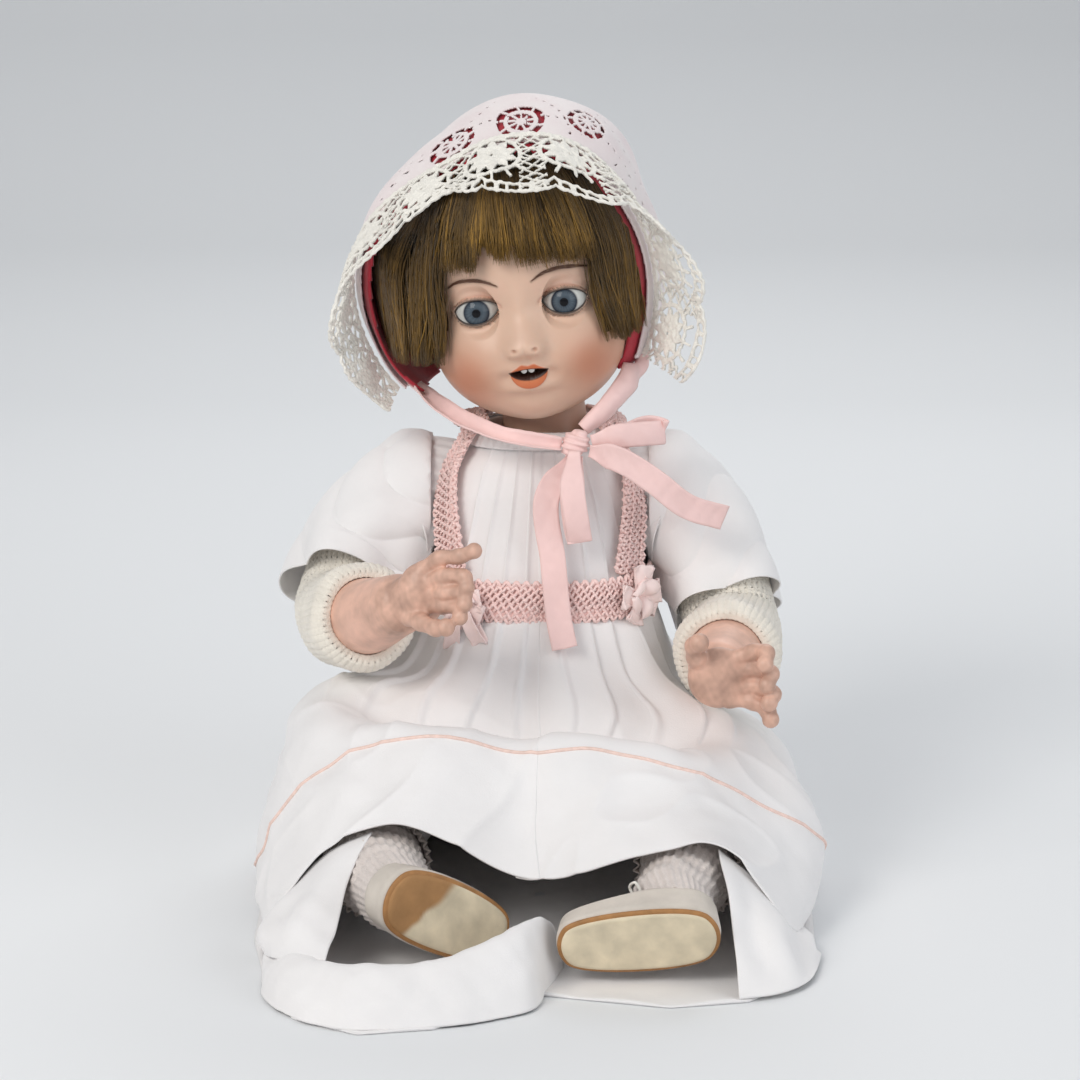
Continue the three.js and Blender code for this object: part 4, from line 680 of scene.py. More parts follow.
def lashes_and_brows():
    strokes = []
    for side in (-1, 1):
        for t in np.linspace(-0.98, 0.98, 44):
            x = EYE[0] + EYE_HALF * t
            for upper in (True, False):
                arch = max(1 - t * t, 0)
                edge = UPPER_LID[0] * arch ** UPPER_LID[1] if upper else -LOWER_LID[0] * arch ** LOWER_LID[1]
                start = np.array([x, EYE[2] + 0.9 + edge])
                out = np.array([t * 0.9, 0.9 if upper else -0.9])
                out /= np.linalg.norm(out)
                bend = np.array([0.5 * t, 0.0])
                reach = (1.5 if upper else 2.1) * (0.75 + 0.5 * rng.random())
                line = [start + out * (0.15 + reach * s) + bend * s * s * 0.6 for s in (0, 0.5, 1)]
                path = [on_face(side * q[0], q[1], 0.05) for q in line]
                strokes.append(tube(path, [0.19, 0.15, 0.05], 4))
    piece("painted_lashes", in_face(gather(strokes)), "lash", "head")
    strands = []
    for outward in (BROWS[0], BROWS[1][::-1]):
        line = curve([(a, 0, b) for a, b in outward])
        for _ in range(90):
            u = rng.random() * 0.8 + 0.02
            v = min(u + 0.14 + 0.14 * rng.random(), 1.0)
            shift = (rng.random() - 0.5) * 1.7 * math.sin(math.pi * (u + v) / 2)
            spots = line(np.linspace(u, v, 5))
            drift = np.linspace(-0.25, 0.35, 5) * (0.4 + rng.random())
            path = [on_face(q[0], q[2] + shift + d, 0.05) for q, d in zip(spots, drift)]
            strands.append(tube(path, [0.02, 0.08, 0.10, 0.08, 0.02], 4))
    piece("painted_brows", in_face(gather(strands)), "brow", "head")


lashes_and_brows()


EYE_WHITE, LID_TONE = np.array([0.58, 0.575, 0.545]), np.array([0.68, 0.45, 0.34])


def eye_paint(p, look, radius):
    """White, iris, rim, pupil, and the lid that comes down when the eye sleeps."""
    front = p[:, 1] < 0
    angle = np.arctan2(p[:, 2] - look[2], p[:, 0] - look[0])
    thread = 0.5 + 0.28 * np.sin(angle * 46 + 2 * np.sin(angle * 9)) + 0.22 * np.sin(angle * 71 + 1.4)
    color = np.tile(EYE_WHITE, (len(p), 1))
    iris = np.array([0.046, 0.062, 0.080]) * (0.65 + 0.7 * thread[:, None])
    iris = iris + np.array([0.034, 0.042, 0.048]) * np.exp(-((radius - 3.4) / 1.2) ** 2)[:, None]
    inside = (smoothstep(-radius, -5.75, -5.45) * front)[:, None]
    rim = (np.exp(-((radius - 5.45) / 0.5) ** 2) * front)[:, None]
    pupil = (smoothstep(-radius, -2.0, -1.65) * front)[:, None]
    color = color * (1 - inside) + iris * inside
    color = color * (1 - 0.92 * rim) + np.array([0.02, 0.025, 0.04]) * 0.92 * rim
    color = color * (1 - pupil) + np.array([0.004, 0.004, 0.006]) * pupil
    rise = np.degrees(np.arctan2(p[:, 2], -p[:, 1]))
    lid = (smoothstep(rise, 28.6, 29.2) * (rise < 130))[:, None]
    lash = np.exp(-((rise - 30.5) / 1.6) ** 2)[:, None]
    return color * (1 - lid) + (LID_TONE * (1 - lash) + np.array([0.05, 0.03, 0.02]) * lash) * lid


def eyes():
    for side, name, aside in ((1, "left_glass_eye", 0.05), (-1, "right_glass_eye", -0.35)):
        points, faces = ball((0, 0, 0), (EYE_RADIUS,) * 3, 96, 160)
        turned = points @ np.array([[1, 0, 0], [0, 0, 1], [0, -1, 0]]).T
        look = np.array([aside, 0, -0.3])
        radius = np.hypot(turned[:, 0] - look[0], turned[:, 2] - look[2])
        bulge = 0.45 * smoothstep(5.9, 0, 5.9) * np.exp(-(radius / 4.6) ** 4) * (turned[:, 1] < 0)
        color = eye_paint(turned, look, radius)
        turned = turned * (1 + bulge[:, None] / EYE_RADIUS)
        stem = tube([(0, 9, 0), (0, 13.4, 0)], 2.4, 12)
        points, faces = gather([(turned, faces), stem])
        colors = np.concatenate([color, np.tile([0.55, 0.55, 0.52], (len(stem[0]), 1))])
        made = in_face((points + EYE * np.array([side, 1, 1]), faces))
        piece(name + "_painted", made, "white_eye", "eyes", (name,), colors)


eyes()


# Place and half width of each tooth
TEETH = ((-1.75 - 0.3, 1.45 + 0.1), (1.55 - 0.3, 1.5 + 0.1))


def teeth():
    parts = [ball((x, -55.7, MOUTH + 1.5), (half, 0.9, 1.9), 20, 14) for x, half in TEETH]
    parts.append(ball((0, -53.9, MOUTH + 2.6), (6, 1.4, 1.2), 20, 10))
    piece("milk_teeth", in_face(gather(parts)), "tooth", "head", ("upper_teeth",))
    tongue = ball((0, -47, MOUTH - 3.6), (6, 7, 2.4))
    piece("felt_tongue", in_face(tongue), "felt", "head", ("tongue",))


teeth()


# Wig

def opening_at(z):
    """How far back the bonnet's front edge stands at a height."""
    return -15 - 0.17 * (z - 20)


def hair_radius(direction):
    p = head_surface(direction, 0, False)
    return np.linalg.norm(p - HEAD_CENTRE, axis=-1)


# Height at which the fringe ends, by place across the face
FRINGE = [(-60, 86), (-36, 88), (-32, 89), (-17, 90), (-14.5, 94), (-11.5, 100), (-9, 94), (-6, 91),
          (2, 89.5), (7.8, 88), (12, 91), (14, 88), (19.5, 88.5), (30, 87), (60, 84)]


def under_bonnet(p):
    """Keeps hair inside the red lining where the bonnet covers it."""
    shift = bonnet_shift(p)
    q = (p - shift - CAP_CENTRE) / CAP_SEMI
    out = np.linalg.norm(q, axis=-1)
    covered = p[..., 1] > opening_at(p[..., 2]) - 5
    scale = np.where(covered & (out > 0.975), 0.975 / np.maximum(out, 1e-6), 1.0)
    return CAP_CENTRE + q * scale[..., None] * CAP_SEMI + shift


FRINGE_END, SIDE_END = 37, 104


def wig():
    """Locks of strands that grow from the crown and end at the fringe, the sides or the nape."""
    strands, colors = [], []
    locks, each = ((330, 27))
    steps = 14
    fine = np.linspace(0, 1, 40)
    # Strand colour at the root, darkened as painted shade deep in the hair, and at the golden tip
    root_shade, gold = np.array([0.045, 0.023, 0.004]), np.array([0.32, 0.175, 0.030])
    for lock in range(locks):
        azimuth = rng.uniform(-180, 180) if lock % 3 else rng.uniform(-60, 60)
        a = abs(azimuth)
        layer = rng.random()
        start = rng.uniform(5, 24) if a < 110 else rng.uniform(20, 60)
        lean = rng.normal(0, 2.6) + (5 if azimuth > 0 else -5) * (a < FRINGE_END)
        lean += 5 * np.sign(azimuth) if 30 < a < 62 else 0
        phase, wave = rng.uniform(0, 6.28), rng.uniform(0.8, 2.2)
        tone = rng.uniform(0.55, 1.3)
        uneven = rng.normal(0, 1.0)
        lowest = 92.0 if a < FRINGE_END else (112 if a < SIDE_END else 126)
        gathered = 0.75 if a < FRINGE_END else 0.9
        for k in range(each):
            spread = rng.normal(0, 2.3) * (1 - 0.8 * fine ** 3)
            lift = 3.2 + 5.2 * np.clip(layer + rng.normal(0, 0.12), 0, 1)
            polar = np.radians(np.linspace(start, lowest, 40))
            az = np.radians(azimuth * np.linspace(gathered, 1, 40) + lean * fine ** 1.3 + spread
                            + wave * np.sin(fine * 6.5 + phase) + 0.5 * np.sin(fine * 17 + k))
            d = np.stack([np.sin(polar) * np.sin(az), -np.sin(polar) * np.cos(az), np.cos(polar)], -1)
            r = hair_radius(d) + lift * smoothstep(np.degrees(polar), 2, 32)
            p = HEAD_CENTRE + d * r[:, None]
            if a < FRINGE_END:
                foot = np.interp(p[:, 0], *zip(*FRINGE)) + 1.3 * uneven + rng.normal(0, 0.8)
                foot = foot + 3 * (1 - layer) * rng.random()
            elif a < SIDE_END:
                low = 44 + 17 * smoothstep(a, 42, 96) if azimuth < 0 else 45 - 9 * smoothstep(a, 42, 80)
                foot = low + 3.0 * uneven + rng.normal(0, 1.6) + 5 * (1 - layer) * rng.random()
            else:
                foot = 27 + rng.normal(0, 3.0)
            ends = np.nonzero(p[:, 2] < foot)[0]
            last = ends[0] if len(ends) else 39
            if last < 6:
                continue
            if a >= FRINGE_END:
                fall = p[: last + 1].copy()
                here = np.hypot(fall[:, 0], fall[:, 1])
                push = 1 + (np.maximum.accumulate(here) - here) / np.maximum(here, 1) * 0.6
                fall[:, :2] *= push[:, None]
                p[: last + 1] = fall
            p[:, 0] -= 9 * smoothstep(-p[:, 0], 36, 52) * smoothstep(-p[:, 1], -12, 10)
            path = under_bonnet(p[np.linspace(0, last, steps).astype(int)])
            width = rng.uniform(0.17, 0.36)
            taper = np.concatenate([[0.6], np.ones(steps - 4), [0.85, 0.5, 0.12]])
            strands.append(tube(path, width * taper, 3))
            t = np.linspace(0, 1, steps)
            # Painted shade: each strand darkens toward its root; the tone of each lock and strand also
            # differs at random
            along = root_shade + (gold - root_shade) * (smoothstep(t, 0.25, 1.0)[:, None] * rng.uniform(0.35, 1.0))
            shade = along * tone * rng.uniform(0.75, 1.25)
            colors.append(np.concatenate([np.repeat(shade, 3, 0), shade[:1], shade[-1:]]))
    piece("hair_strands", in_face(gather(strands)), "hair", "head", (), np.concatenate(colors))
    # A dark base under the strands, painted as the shade deep in the hair
    directions = unit(head_rings(120, 90, 0.3))
    p = under_bonnet(head_surface(directions, 0, False) + directions * 3.1).reshape(-1, 3)
    faces = grid_faces(*directions.shape[:2], True)
    az = np.degrees(np.arctan2(p[:, 0], -p[:, 1]))
    foot = np.where(np.abs(az) < 36, 96, np.where(np.abs(az) < 104, np.where(az < 0, 60, 50), 32))
    keep = (p[faces][:, :, 2] > foot[faces]).all(1)
    piece("wig_base_painted_shade", in_face((p, faces[keep])), "shaded_hair_base", "head", ("wig", "crown_pate"))


wig()

# Bonnet

def cap_point(azimuth, polar, grow):
    d = np.stack([np.sin(polar) * np.sin(azimuth), -np.sin(polar) * np.cos(azimuth), np.cos(polar)], -1)
    p = CAP_CENTRE + d * (CAP_SEMI + grow)
    return p + bonnet_shift(p)


def rim_faces(kept, above):
    """Side faces along the open edges of the kept faces."""
    edges = {}
    for f in kept.tolist():
        for a, b in zip(f, f[1:] + f[:1]):
            if (b, a) in edges:
                del edges[(b, a)]
            else:
                edges[(a, b)] = True
    return np.array([(a, b, b + above, a + above) for a, b in edges])


def sheet_faces(kept, above):
    """Faces of a pierced sheet: its inside, its outside and the sides of its holes."""
    return np.concatenate([kept[:, ::-1], kept + above, rim_faces(kept, above)])


CAP_ACROSS, CAP_DOWN = 66, 70
CAP_FLOWERS = ((6, 27, 1.0), (-42, 37, 0.8), (58, 36, 0.85), (118, 42, 0.9), (-112, 44, 0.9), (178, 46, 1.0))
CAP_DAISIES = ((48, 44, 7), (66, 58, 6), (20, 66, 6), (110, 50, 7), (-70, 52, 6), (-120, 60, 7), (160, 60, 7))
CAP_DOTS = (40, 82, 132, -50, -100, -150)


def apart(value, pitch):
    """How far a place lies from the middle of its repeat."""
    return ((value / pitch) % 1 - 0.5) * pitch


def open_work(azimuth, polar, back):
    """Where the white cap has holes: open flowers, daisies, rows of dots and a lace band along its edge."""
    hole = np.zeros(azimuth.shape, bool)
    for az, po, big in CAP_FLOWERS:
        across = ((azimuth - math.radians(az) + np.pi) % (2 * np.pi) - np.pi) * np.sin(polar) * CAP_ACROSS
        down = (polar - math.radians(po)) * CAP_DOWN
        rho = np.hypot(across / (12.5 * big), down / (13.5 * big))
        spoke = np.arctan2(down, across)
        petal = np.abs(np.sin(4.5 * spoke + 1.2 * rho)) * rho * 12 * big > 1.1
        hole |= (rho < 0.93) & (rho > 0.16) & petal & (np.abs(rho - 0.56) > 0.065)
    for az, po, petals in CAP_DAISIES:
        x = (azimuth - math.radians(az)) * np.sin(polar) * CAP_ACROSS
        y = (polar - math.radians(po)) * CAP_DOWN
        r, turn = np.hypot(x, y), np.arctan2(y, x)
        hole |= (r > 2.2) & (r < 7.4) & (np.abs(np.sin(petals / 2 * turn + az)) * r < 1.05)
    for az in CAP_DOTS:
        x = (azimuth - math.radians(az) - 0.12 * np.sin(polar * 5)) * np.sin(polar) * CAP_ACROSS
        y = apart(polar * CAP_DOWN, 5.6)
        hole |= (np.hypot(x, y * 0.8) < 0.95) & (polar > 0.2) & (polar < 1.7)
    lane = azimuth * np.sin(polar) * CAP_ACROSS
    fan = apart(lane, 9.5)
    slit = np.abs(np.sin(2.6 * np.arctan2(back - 14, fan))) * np.hypot(fan, back - 14)
    hole |= (back > 4) & (back < 12.5) & (slit < 0.62) & (np.hypot(fan, back - 14) > 2.5)
    hole |= (back > 15.5) & (back < 17.3) & (np.abs((lane / 4.6) % 1 - 0.5) < 0.22)
    return hole


def soften(obj, factor):
    smoothing = obj.modifiers.new("soften", "SMOOTH")
    smoothing.factor = factor
    smoothing.iterations = 2


def cap_shell(name, mat, grow, foot, ahead, wall, node, pattern=False):
    rows, columns = (290, 440) if pattern else (110, 220)
    polar = np.linspace(0.01, math.radians(140), rows)[:, None] * np.ones(columns)
    azimuth = circle(columns) - np.pi
    azimuth = (azimuth - 0.4 * np.sin(azimuth))[None] * np.ones((rows, 1))
    grid = cap_point(azimuth, polar, grow)
    fold = 0.8 * np.sin(azimuth * 11 + 2 * np.sin(polar * 3)) * smoothstep(polar, 0.3, 1.4)
    grid = grid + unit(grid - CAP_CENTRE) * (fold + 0.9 * wobble(grid, 26))[..., None]
    p = grid.reshape(-1, 3)
    faces = grid_faces(rows, columns, True)
    front = opening_at(p[:, 2]) - ahead
    inside = (p[:, 1] > front) & (p[:, 2] > foot + 6 * smoothstep(p[:, 1], 0, 60))
    keep = inside[faces].any(1)
    border = ~inside & (p[:, 2] > foot + 1)
    p[border, 1] = np.maximum(p[border, 1], front[border])
    if pattern:
        keep &= ~open_work(azimuth.ravel(), polar.ravel(), p[:, 1] - front)[faces].all(1)
    points = np.concatenate([p, p + unit(p - CAP_CENTRE) * wall])
    obj = piece(name, in_face((points, sheet_faces(faces[keep], len(p)))), mat, "head", (node,))
    if pattern:
        soften(obj, 0.4)


cap_shell("bonnet_red_lining", "red", 0.4, 32, 4.5, 0.9, "bonnet_lining")
# The white cap's pink tint is painted light from the red lining beneath
cap_shell("bonnet_white_cap", "lawn", 2.6, 34, 0.5, 0.9, "bonnet_cap", True)


SCALLOP_PITCH, SCALLOPS, FRILL_GROW = 28.4, 9, 4.8
LEAVES, BARS, MOTIF_HEIGHT = 10, 14, 13.0


def lace_solid(u, v, reach):
    """Whether the crochet pattern has thread at a place of the frill."""
    x = apart(u, SCALLOP_PITCH)
    edge = reach - v
    solid = (edge < 1.5) | (np.abs(edge - 5.3) < 0.85)
    between = (edge > 1.2) & (edge < 5.6)
    solid |= between & (np.abs(((u / 4.1 + 0.1 * np.sin(u)) % 1) - 0.5) < 0.17)
    rho = np.hypot(x, v - MOTIF_HEIGHT)
    phi = np.arctan2(v - MOTIF_HEIGHT, x)
    turn = (phi * LEAVES / (2 * np.pi)) % 1 - 0.5
    leaf = 2.15 * np.sin(np.pi * np.clip((rho - 1.2) / 8.4, 0, 1)) ** 0.7
    solid |= (np.abs(turn) * 2 * np.pi / LEAVES * rho < leaf) & (rho > 1.2) & (rho < 9.6)
    solid |= (rho < 1.9) & (rho > 0.6)
    solid |= np.abs(rho - 10.4) < 0.85
    bars = np.abs(((phi * BARS / (2 * np.pi)) % 1) - 0.5) * 2 * np.pi / BARS * rho < 0.62
    solid |= (rho > 10) & (rho < 15.5) & bars
    for slope in (1.2, -1.2):
        solid |= (np.abs(x) > 9.5) & (np.abs(np.sin(np.pi * (u + slope * v) / 6.2)) < 0.27)
    return solid | (v < 2.6)


def frill_root(s, c):
    """Line on the bonnet's opening from which the frill stands out."""
    narrow = np.full(len(s), 0.9)
    for _ in range(6):
        z = CAP_CENTRE[2] + (CAP_SEMI[2] + FRILL_GROW) * c * narrow
        narrow = np.sqrt(1 - ((opening_at(z) - CAP_CENTRE[1]) / (CAP_SEMI[1] + FRILL_GROW)) ** 2)
    root = np.stack([CAP_CENTRE[0] + (CAP_SEMI[0] + FRILL_GROW) * s * narrow, opening_at(z) + 2.2, z], -1)
    return root + bonnet_shift(root)


def frill():
    span = math.radians(128)
    columns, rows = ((900, 96))
    angle = np.linspace(-span, span, columns)
    t = np.linspace(0, 1, columns)
    s, c = np.sin(angle), np.cos(angle)
    root = frill_root(s, c)
    top = np.maximum(c, 0)
    sideways = np.where(s > 0, 0.5, 0.18) * s
    out = unit(np.stack([sideways, -0.55 - 0.3 * top, -0.62 * top - 0.25 * (1 - top)], -1))
    wave = t * np.pi * SCALLOPS
    degrees = np.degrees(angle)
    reach = 30.5 + 5.5 * np.abs(np.sin(wave)) ** 0.7
    reach = reach + 7 * np.exp(-((degrees - 30) / 26) ** 2) - 13 * np.exp(-((degrees + 30) / 11) ** 2)
    reach = reach + 0.5 * np.abs(np.sin(wave * 7)) - 13 * smoothstep(-degrees, 88, 122)
    v = np.linspace(0, 1, rows)[:, None]
    grid = root[None] + out[None] * (v * reach[None])[..., None]
    grid[..., 1] += 2.4 * v * np.sin(wave * 2)[None]
    side = unit(np.cross(out, unit(np.gradient(root, axis=0))))
    grid = grid + side[None] * (1.3 * np.sin(v * np.pi) * np.sin(wave * 2 + 0.8)[None])[..., None]
    arc = np.concatenate([[0], np.cumsum(np.linalg.norm(np.diff(root + out * 16, axis=0), axis=1))])
    u2 = np.repeat((arc / arc[-1] * SCALLOP_PITCH * SCALLOPS)[None], rows, 0)
    v2 = v * reach[None]
    solid = lace_solid(u2, v2, np.repeat(reach[None], rows, 0)).ravel()
    faces = grid_faces(rows, columns)
    kept = faces[solid[faces].sum(1) >= 3]
    p = grid.reshape(-1, 3)
    relief = 0.55 * wobble(np.stack([u2.ravel(), v2.ravel(), u2.ravel() * 0], -1), 1.2)
    n = grid_normals(grid).reshape(-1, 3)
    p = p + n * relief[:, None]
    made = in_face((np.concatenate([p, p + n * 1.3]), sheet_faces(kept, len(p))))
    soften(piece("bonnet_lace_frill", made, "lace", "head", ("bonnet_frill",)), 0.5)


frill()


# Ribbons

def run_length(points):
    path = curve(points)(np.linspace(0, 1, 200))
    return float(np.linalg.norm(np.diff(path, axis=0), axis=1).sum())


def band(points, across, width, wall=0.7, count=60, curl=0.6, wrinkle=0.35, seed=0.0):
    """Ribbon along points, with a little curl over its width and soft wrinkles."""
    t = np.linspace(0, 1, count)
    path = curve(points)(t)
    along = unit(np.gradient(path, axis=0))
    side = curve(across)(t) if len(across) > 1 else np.repeat(np.array(across, float), count, 0)
    side = unit(side)
    side = unit(side - along * np.sum(side * along, 1, keepdims=True))
    normal = np.cross(along, side)
    columns = 11
    w = np.linspace(-1, 1, columns)
    half = (np.asarray(width) / 2 * np.ones(count))[:, None, None]
    grid = path[:, None] + side[:, None] * w[None, :, None] * half
    lift = curl * (w ** 2)[None] + wrinkle * wobble(grid, 7, seed) + 0.25 * wobble(grid, 2.6, seed + 3)
    grid = grid + normal[:, None] * lift[..., None]
    return shell(grid, wall)


X, Y, Z = (1, 0, 0), (0, 1, 0), (0, 0, 1)
RIBBON = 11
KNOT_CENTRE = np.array([13, -46, 3.5])


def from_bonnet(place):
    """A place given in the bonnet's coordinates, in the head's."""
    return tuple(np.array(place) @ turn_about("Z", -HEAD_TURN).T)


# Route, directions across it, width and curl
TIES = {
    "left_ribbon_tie": ([from_bonnet((46, -12, 33.3)), (42, -30, 27), (32, -40.5, 18), (17.5, -45, 8.6)],
                        [Y, (0, 0.6, 0.8), Z, Z], RIBBON, 2.4),
    "right_ribbon_tie": ([from_bonnet((-58, -12, 33.3)), (-42, -32, 21), (-20, -46, 10), (6.5, -47, 3)],
                         [Y, (0.2, 0.9, 0.4), (0.2, 0.85, 0.5), (0, 0.5, 1)], 10.5, 3.6),
}
# Route, directions across it, width, and for a tail the point where it lies wholly on the torso
STRIPS = {
    "bow_loop_down": ([(13, -51, -1.6), (9, -57, -14), (8, -60, -30), (9, -63, -38), (9, -66, -30),
                       (9, -64, -13), (12, -55, 2)], [X, X], RIBBON, None),
    "bow_loop_out": ([(21.6, -47, -1.5), (32, -48.6, 3), (46, -46, 6), (53, -46, 3), (45, -50.5, 4),
                      (32, -52.5, 5), (20, -50, 4)], [Z, Z], RIBBON, None),
    "bow_tail_down": ([(10.5, -47, -2.9), (-3, -55.8, -18), (-4, -62.5, -45), (-5, -66, -70),
                       (-4, -73.6, -82.4)], [X, X], 11.5, 2),
    "bow_tail_out": ([(19, -50.5, 0), (32, -57, -5), (45, -58, -16), (58, -54, -30), (74, -47, -39)],
                     [Z, (0.5, 0, 1), (0.6, 0, 1)], 11.5, 3),
}


def blend_along(obj, start, end):
    """Bakes a ribbon's placement into its mesh. The two places, given in the head's coordinates, are turned
    into the part's but not used further.
    """
    start, end = (tuple(from_head(np.array(place)) * MM) for place in (start, end))
    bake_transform(obj)
    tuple(start)
    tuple(end)


def bow():
    for name, (path, cross, width, curl) in TIES.items():
        made = in_head(band(path, cross, width * (1 - 0.4 * np.linspace(0, 1, 60) ** 4), seed=1.0, curl=curl))
        obj = piece(name + "_silk", made, "ribbon", None, (name,))
        run_length(path) * MM
        blend_along(obj, path[1], path[2])
    p, faces = remeshed("knot", [ball(KNOT_CENTRE, (6.2, 4.6, 5.8)), ball((11, -48, 1.5), (4.6, 3.4, 4.4)),
                                 ball((15.5, -47.6, 4.6), (3.6, 3.6, 4.6))], 0.5, 4)
    p = p + unit(p - KNOT_CENTRE) * (0.5 * np.sin(p[:, 2] * 2.2 + p[:, 0] * 0.9))[:, None]
    piece("bow_knot_silk", in_head((p, faces)), "ribbon", "neck", ("bow_knot",))
    t = np.linspace(0, 1, 90)
    for k, (name, (path, cross, width, settled)) in enumerate(STRIPS.items()):
        w = width * (0.5 + 0.5 * smoothstep(t, 0, 0.16))
        if not settled:
            w = w * (0.5 + 0.5 * smoothstep(1 - t, 0, 0.16))
        made = in_head(band(path, cross, w, count=90, curl=0.5, seed=k * 2.3))
        obj = piece(name + "_silk", made, "ribbon", None if settled else "neck", (name,))
        run_length(path) * MM
        if settled:
            blend_along(obj, path[0], path[settled])


bow()


# Torso and the garments on it

# Height, half width, depth in front and depth behind
TORSO = profile([
    (3.6, 24, 22, 22), (9.6, 35, 36, 35), (30, 40, 45, 43), (55, 40, 49, 42), (85, 40, 51, 39),
    (115, 41, 47, 37), (145, 42.5, 41, 36), (166, 42, 35, 33), (178, 37, 30, 29), (184, 30, 27, 26),
    (194, 22, 22, 22),
])
SQUARE = 2.5
BODICE_GROW = 0.4 + 2.2 + 0.4 + 1.2 + 0.4
BRAID_GROW = BODICE_GROW + 1.8 + 1.2 + 0.4


def torso_point(angle, z, grow):
    """Place round the torso, at an angle from the front and a height, grown outward."""
    rows = TORSO(np.ravel(z)).reshape(np.shape(z) + (3,))
    s, c = np.sin(angle), np.cos(angle)
    width = rows[..., 0] + grow
    depth = np.where(c > 0, rows[..., 1], rows[..., 2]) + grow
    reach = (np.abs(s / width) ** SQUARE + np.abs(c / depth) ** SQUARE) ** (-1 / SQUARE)
    return np.stack([reach * s, 2 - reach * c, z * np.ones_like(s)], -1)


def flare(angle, z):
    """How far the dress stands off in front and behind, more so toward the waist."""
    return 5.2 * smoothstep(168 - z, 0, 48) * (1 - np.abs(np.sin(angle)) ** 3)


def bodice():
    rows, columns = 90, 520
    z = np.linspace(WAIST - 7, BODICE_TOP + 1.5, rows)[:, None] * np.ones(columns)
    a = circle(columns)
    a = (a - 0.42 * np.sin(a))[None] * np.ones((rows, 1))
    front = smoothstep(np.cos(a), 0.66, 0.82)
    back = smoothstep(-np.cos(a), 0.7, 0.85)
    s = (a * 46 / 8.6) % 1
    tuck = (np.exp(-(s / 0.16) ** 2) + 0.45 * s) * 1.3
    fade = smoothstep(z, 112, 130) * (1 - 0.25 * smoothstep(z, 150, 186))
    grow = BODICE_GROW + 1.0 + flare(a, z) + (front + 0.6 * back) * fade * tuck
    grow = grow + 0.7 * wobble(np.stack([a * 45, z * 0.45, z * 0], -1), 9)
    grid = torso_point(a, z, grow)
    grid[..., 1] -= 1.2 * smoothstep(z, 184, 193) * (np.cos(a) > 0)
    p, faces = shell(grid, 0.7, True)
    round_arm = np.hypot(p[:, 1] - SHOULDER[1], p[:, 2] - SHOULDER[2]) < 20.5
    hole = round_arm & (np.abs(p[:, 0]) > 30)
    keep = ~hole[faces].any(1)
    piece("dress_bodice_lawn", (p, faces[keep]), "cotton", "torso", ("dress_bodice",))
    a = circle(360)
    ripple = 0.25 * np.sin(a * 60)
    grid = np.array([torso_point(a, np.full(360, BODICE_TOP + z), BODICE_GROW + grow + 1.8 + ripple)
                     for z, grow in ((-4.5, 1.4), (-3.5, 2.4), (0.5, 2.6), (2.6, 2.0), (3.0, 0.4))])
    piece("neck_binding", shell(grid, 0.8, True), "cotton", "torso")


bodice()


def on_bodice(angle, z, out):
    a, z = np.asarray(angle, float), np.asarray(z, float)
    return torso_point(a, z, BRAID_GROW + flare(a, z) + out)


def crochet(path, side, normal, width, cords, seed=0):
    """Cords in waves side by side along a path. Their width may change along it."""
    length = np.concatenate([[0], np.cumsum(np.linalg.norm(np.diff(path, axis=0), axis=1))])
    s = np.arange(0, length[-1], 0.62)
    at, across, out = (np.stack([np.interp(s, length, line[:, k]) for k in range(3)], -1)
                       for line in (path, side, normal))
    across, out = unit(across), unit(out)
    parts = []
    pitch = (width(s / length[-1]) if callable(width) else width) / cords
    for k in range(cords):
        edge = k in (0, cords - 1)
        wave = 4.4 if edge else 3.7
        phase = k * 2.1 + seed
        sway = pitch * (0.62 if edge else 0.50) * np.sin(2 * np.pi * s / wave + phase)
        rise = 0.4 * np.cos(4 * np.pi * s / wave + phase * 1.7) + (0.3 if k % 2 else 0)
        offset = (k - (cords - 1) / 2) * pitch
        line = at + across * (offset + sway)[:, None] + out * (rise + 0.5)[:, None]
        parts.append(tube(line, 0.86 if edge else 0.8, 5))
    return gather(parts)


CORDS, BRAID_WIDTH = 9, 18.6
WAISTBAND_FLAT, STRAP_WIDTH = (335, 16), 14.2
# Angle from the front and height of the strap's route
STRAP_FRONT = [(0.74, 132.4), (0.84, 148), (0.95, 164), (1.04, 178)]
STRAP_OVER = (1.12, 1.4, 1.8, 2.2)
STRAP_BACK = [(2.38, 178), (2.34, 164), (2.28, 148), (2.26, 132.4)]


def strap_width(share):
    """Full width in front, narrower over the shoulder and behind."""
    return 18.4 - 4.6 * smoothstep(share, 0.2, 0.33)


def braid(name, tape, cords, flat):
    """A braid's plain tape and the crochet on it."""
    strip = piece(name + "_tape", tape, "braid", "torso", (name,))
    loops = piece(name + "_crochet", cords, "braid", "torso")


def strap(side, name):
    def stations(rows):
        spots = [on_bodice(side * a, z, 1.0) for a, z in rows]
        return spots, [on_bodice(side * a, z, 2.0) - spot for (a, z), spot in zip(rows, spots)]

    front, front_out = stations(STRAP_FRONT)
    back, back_out = stations(STRAP_BACK)
    over = np.array([on_bodice(side * a, BODICE_TOP, 0.9) for a in STRAP_OVER])
    over[:, 2] = [BODICE_TOP + 2.4 + 2.5 * math.sin(a) for a in STRAP_OVER]
    points = [*front, *over, *back]
    normals = np.array([*front_out, *[(0.25 * side, 0, 1.0)] * len(over), *back_out])
    t = np.linspace(0, 1, 240)
    path = curve(points)(t)
    normal = unit(curve(unit(normals))(t))
    across = unit(np.cross(unit(np.gradient(path, axis=0)), normal))
    w = np.linspace(-1, 1, 7)[None] * strap_width(t)[:, None] * 0.445
    tape = shell(path[:, None] + across[:, None] * w[..., None] - normal[:, None] * 0.1, 0.5)
    cords = crochet(path, across, normal, strap_width, CORDS, seed=side)
    braid(name, tape, cords, (run_length(points) * MM, STRAP_WIDTH * MM))


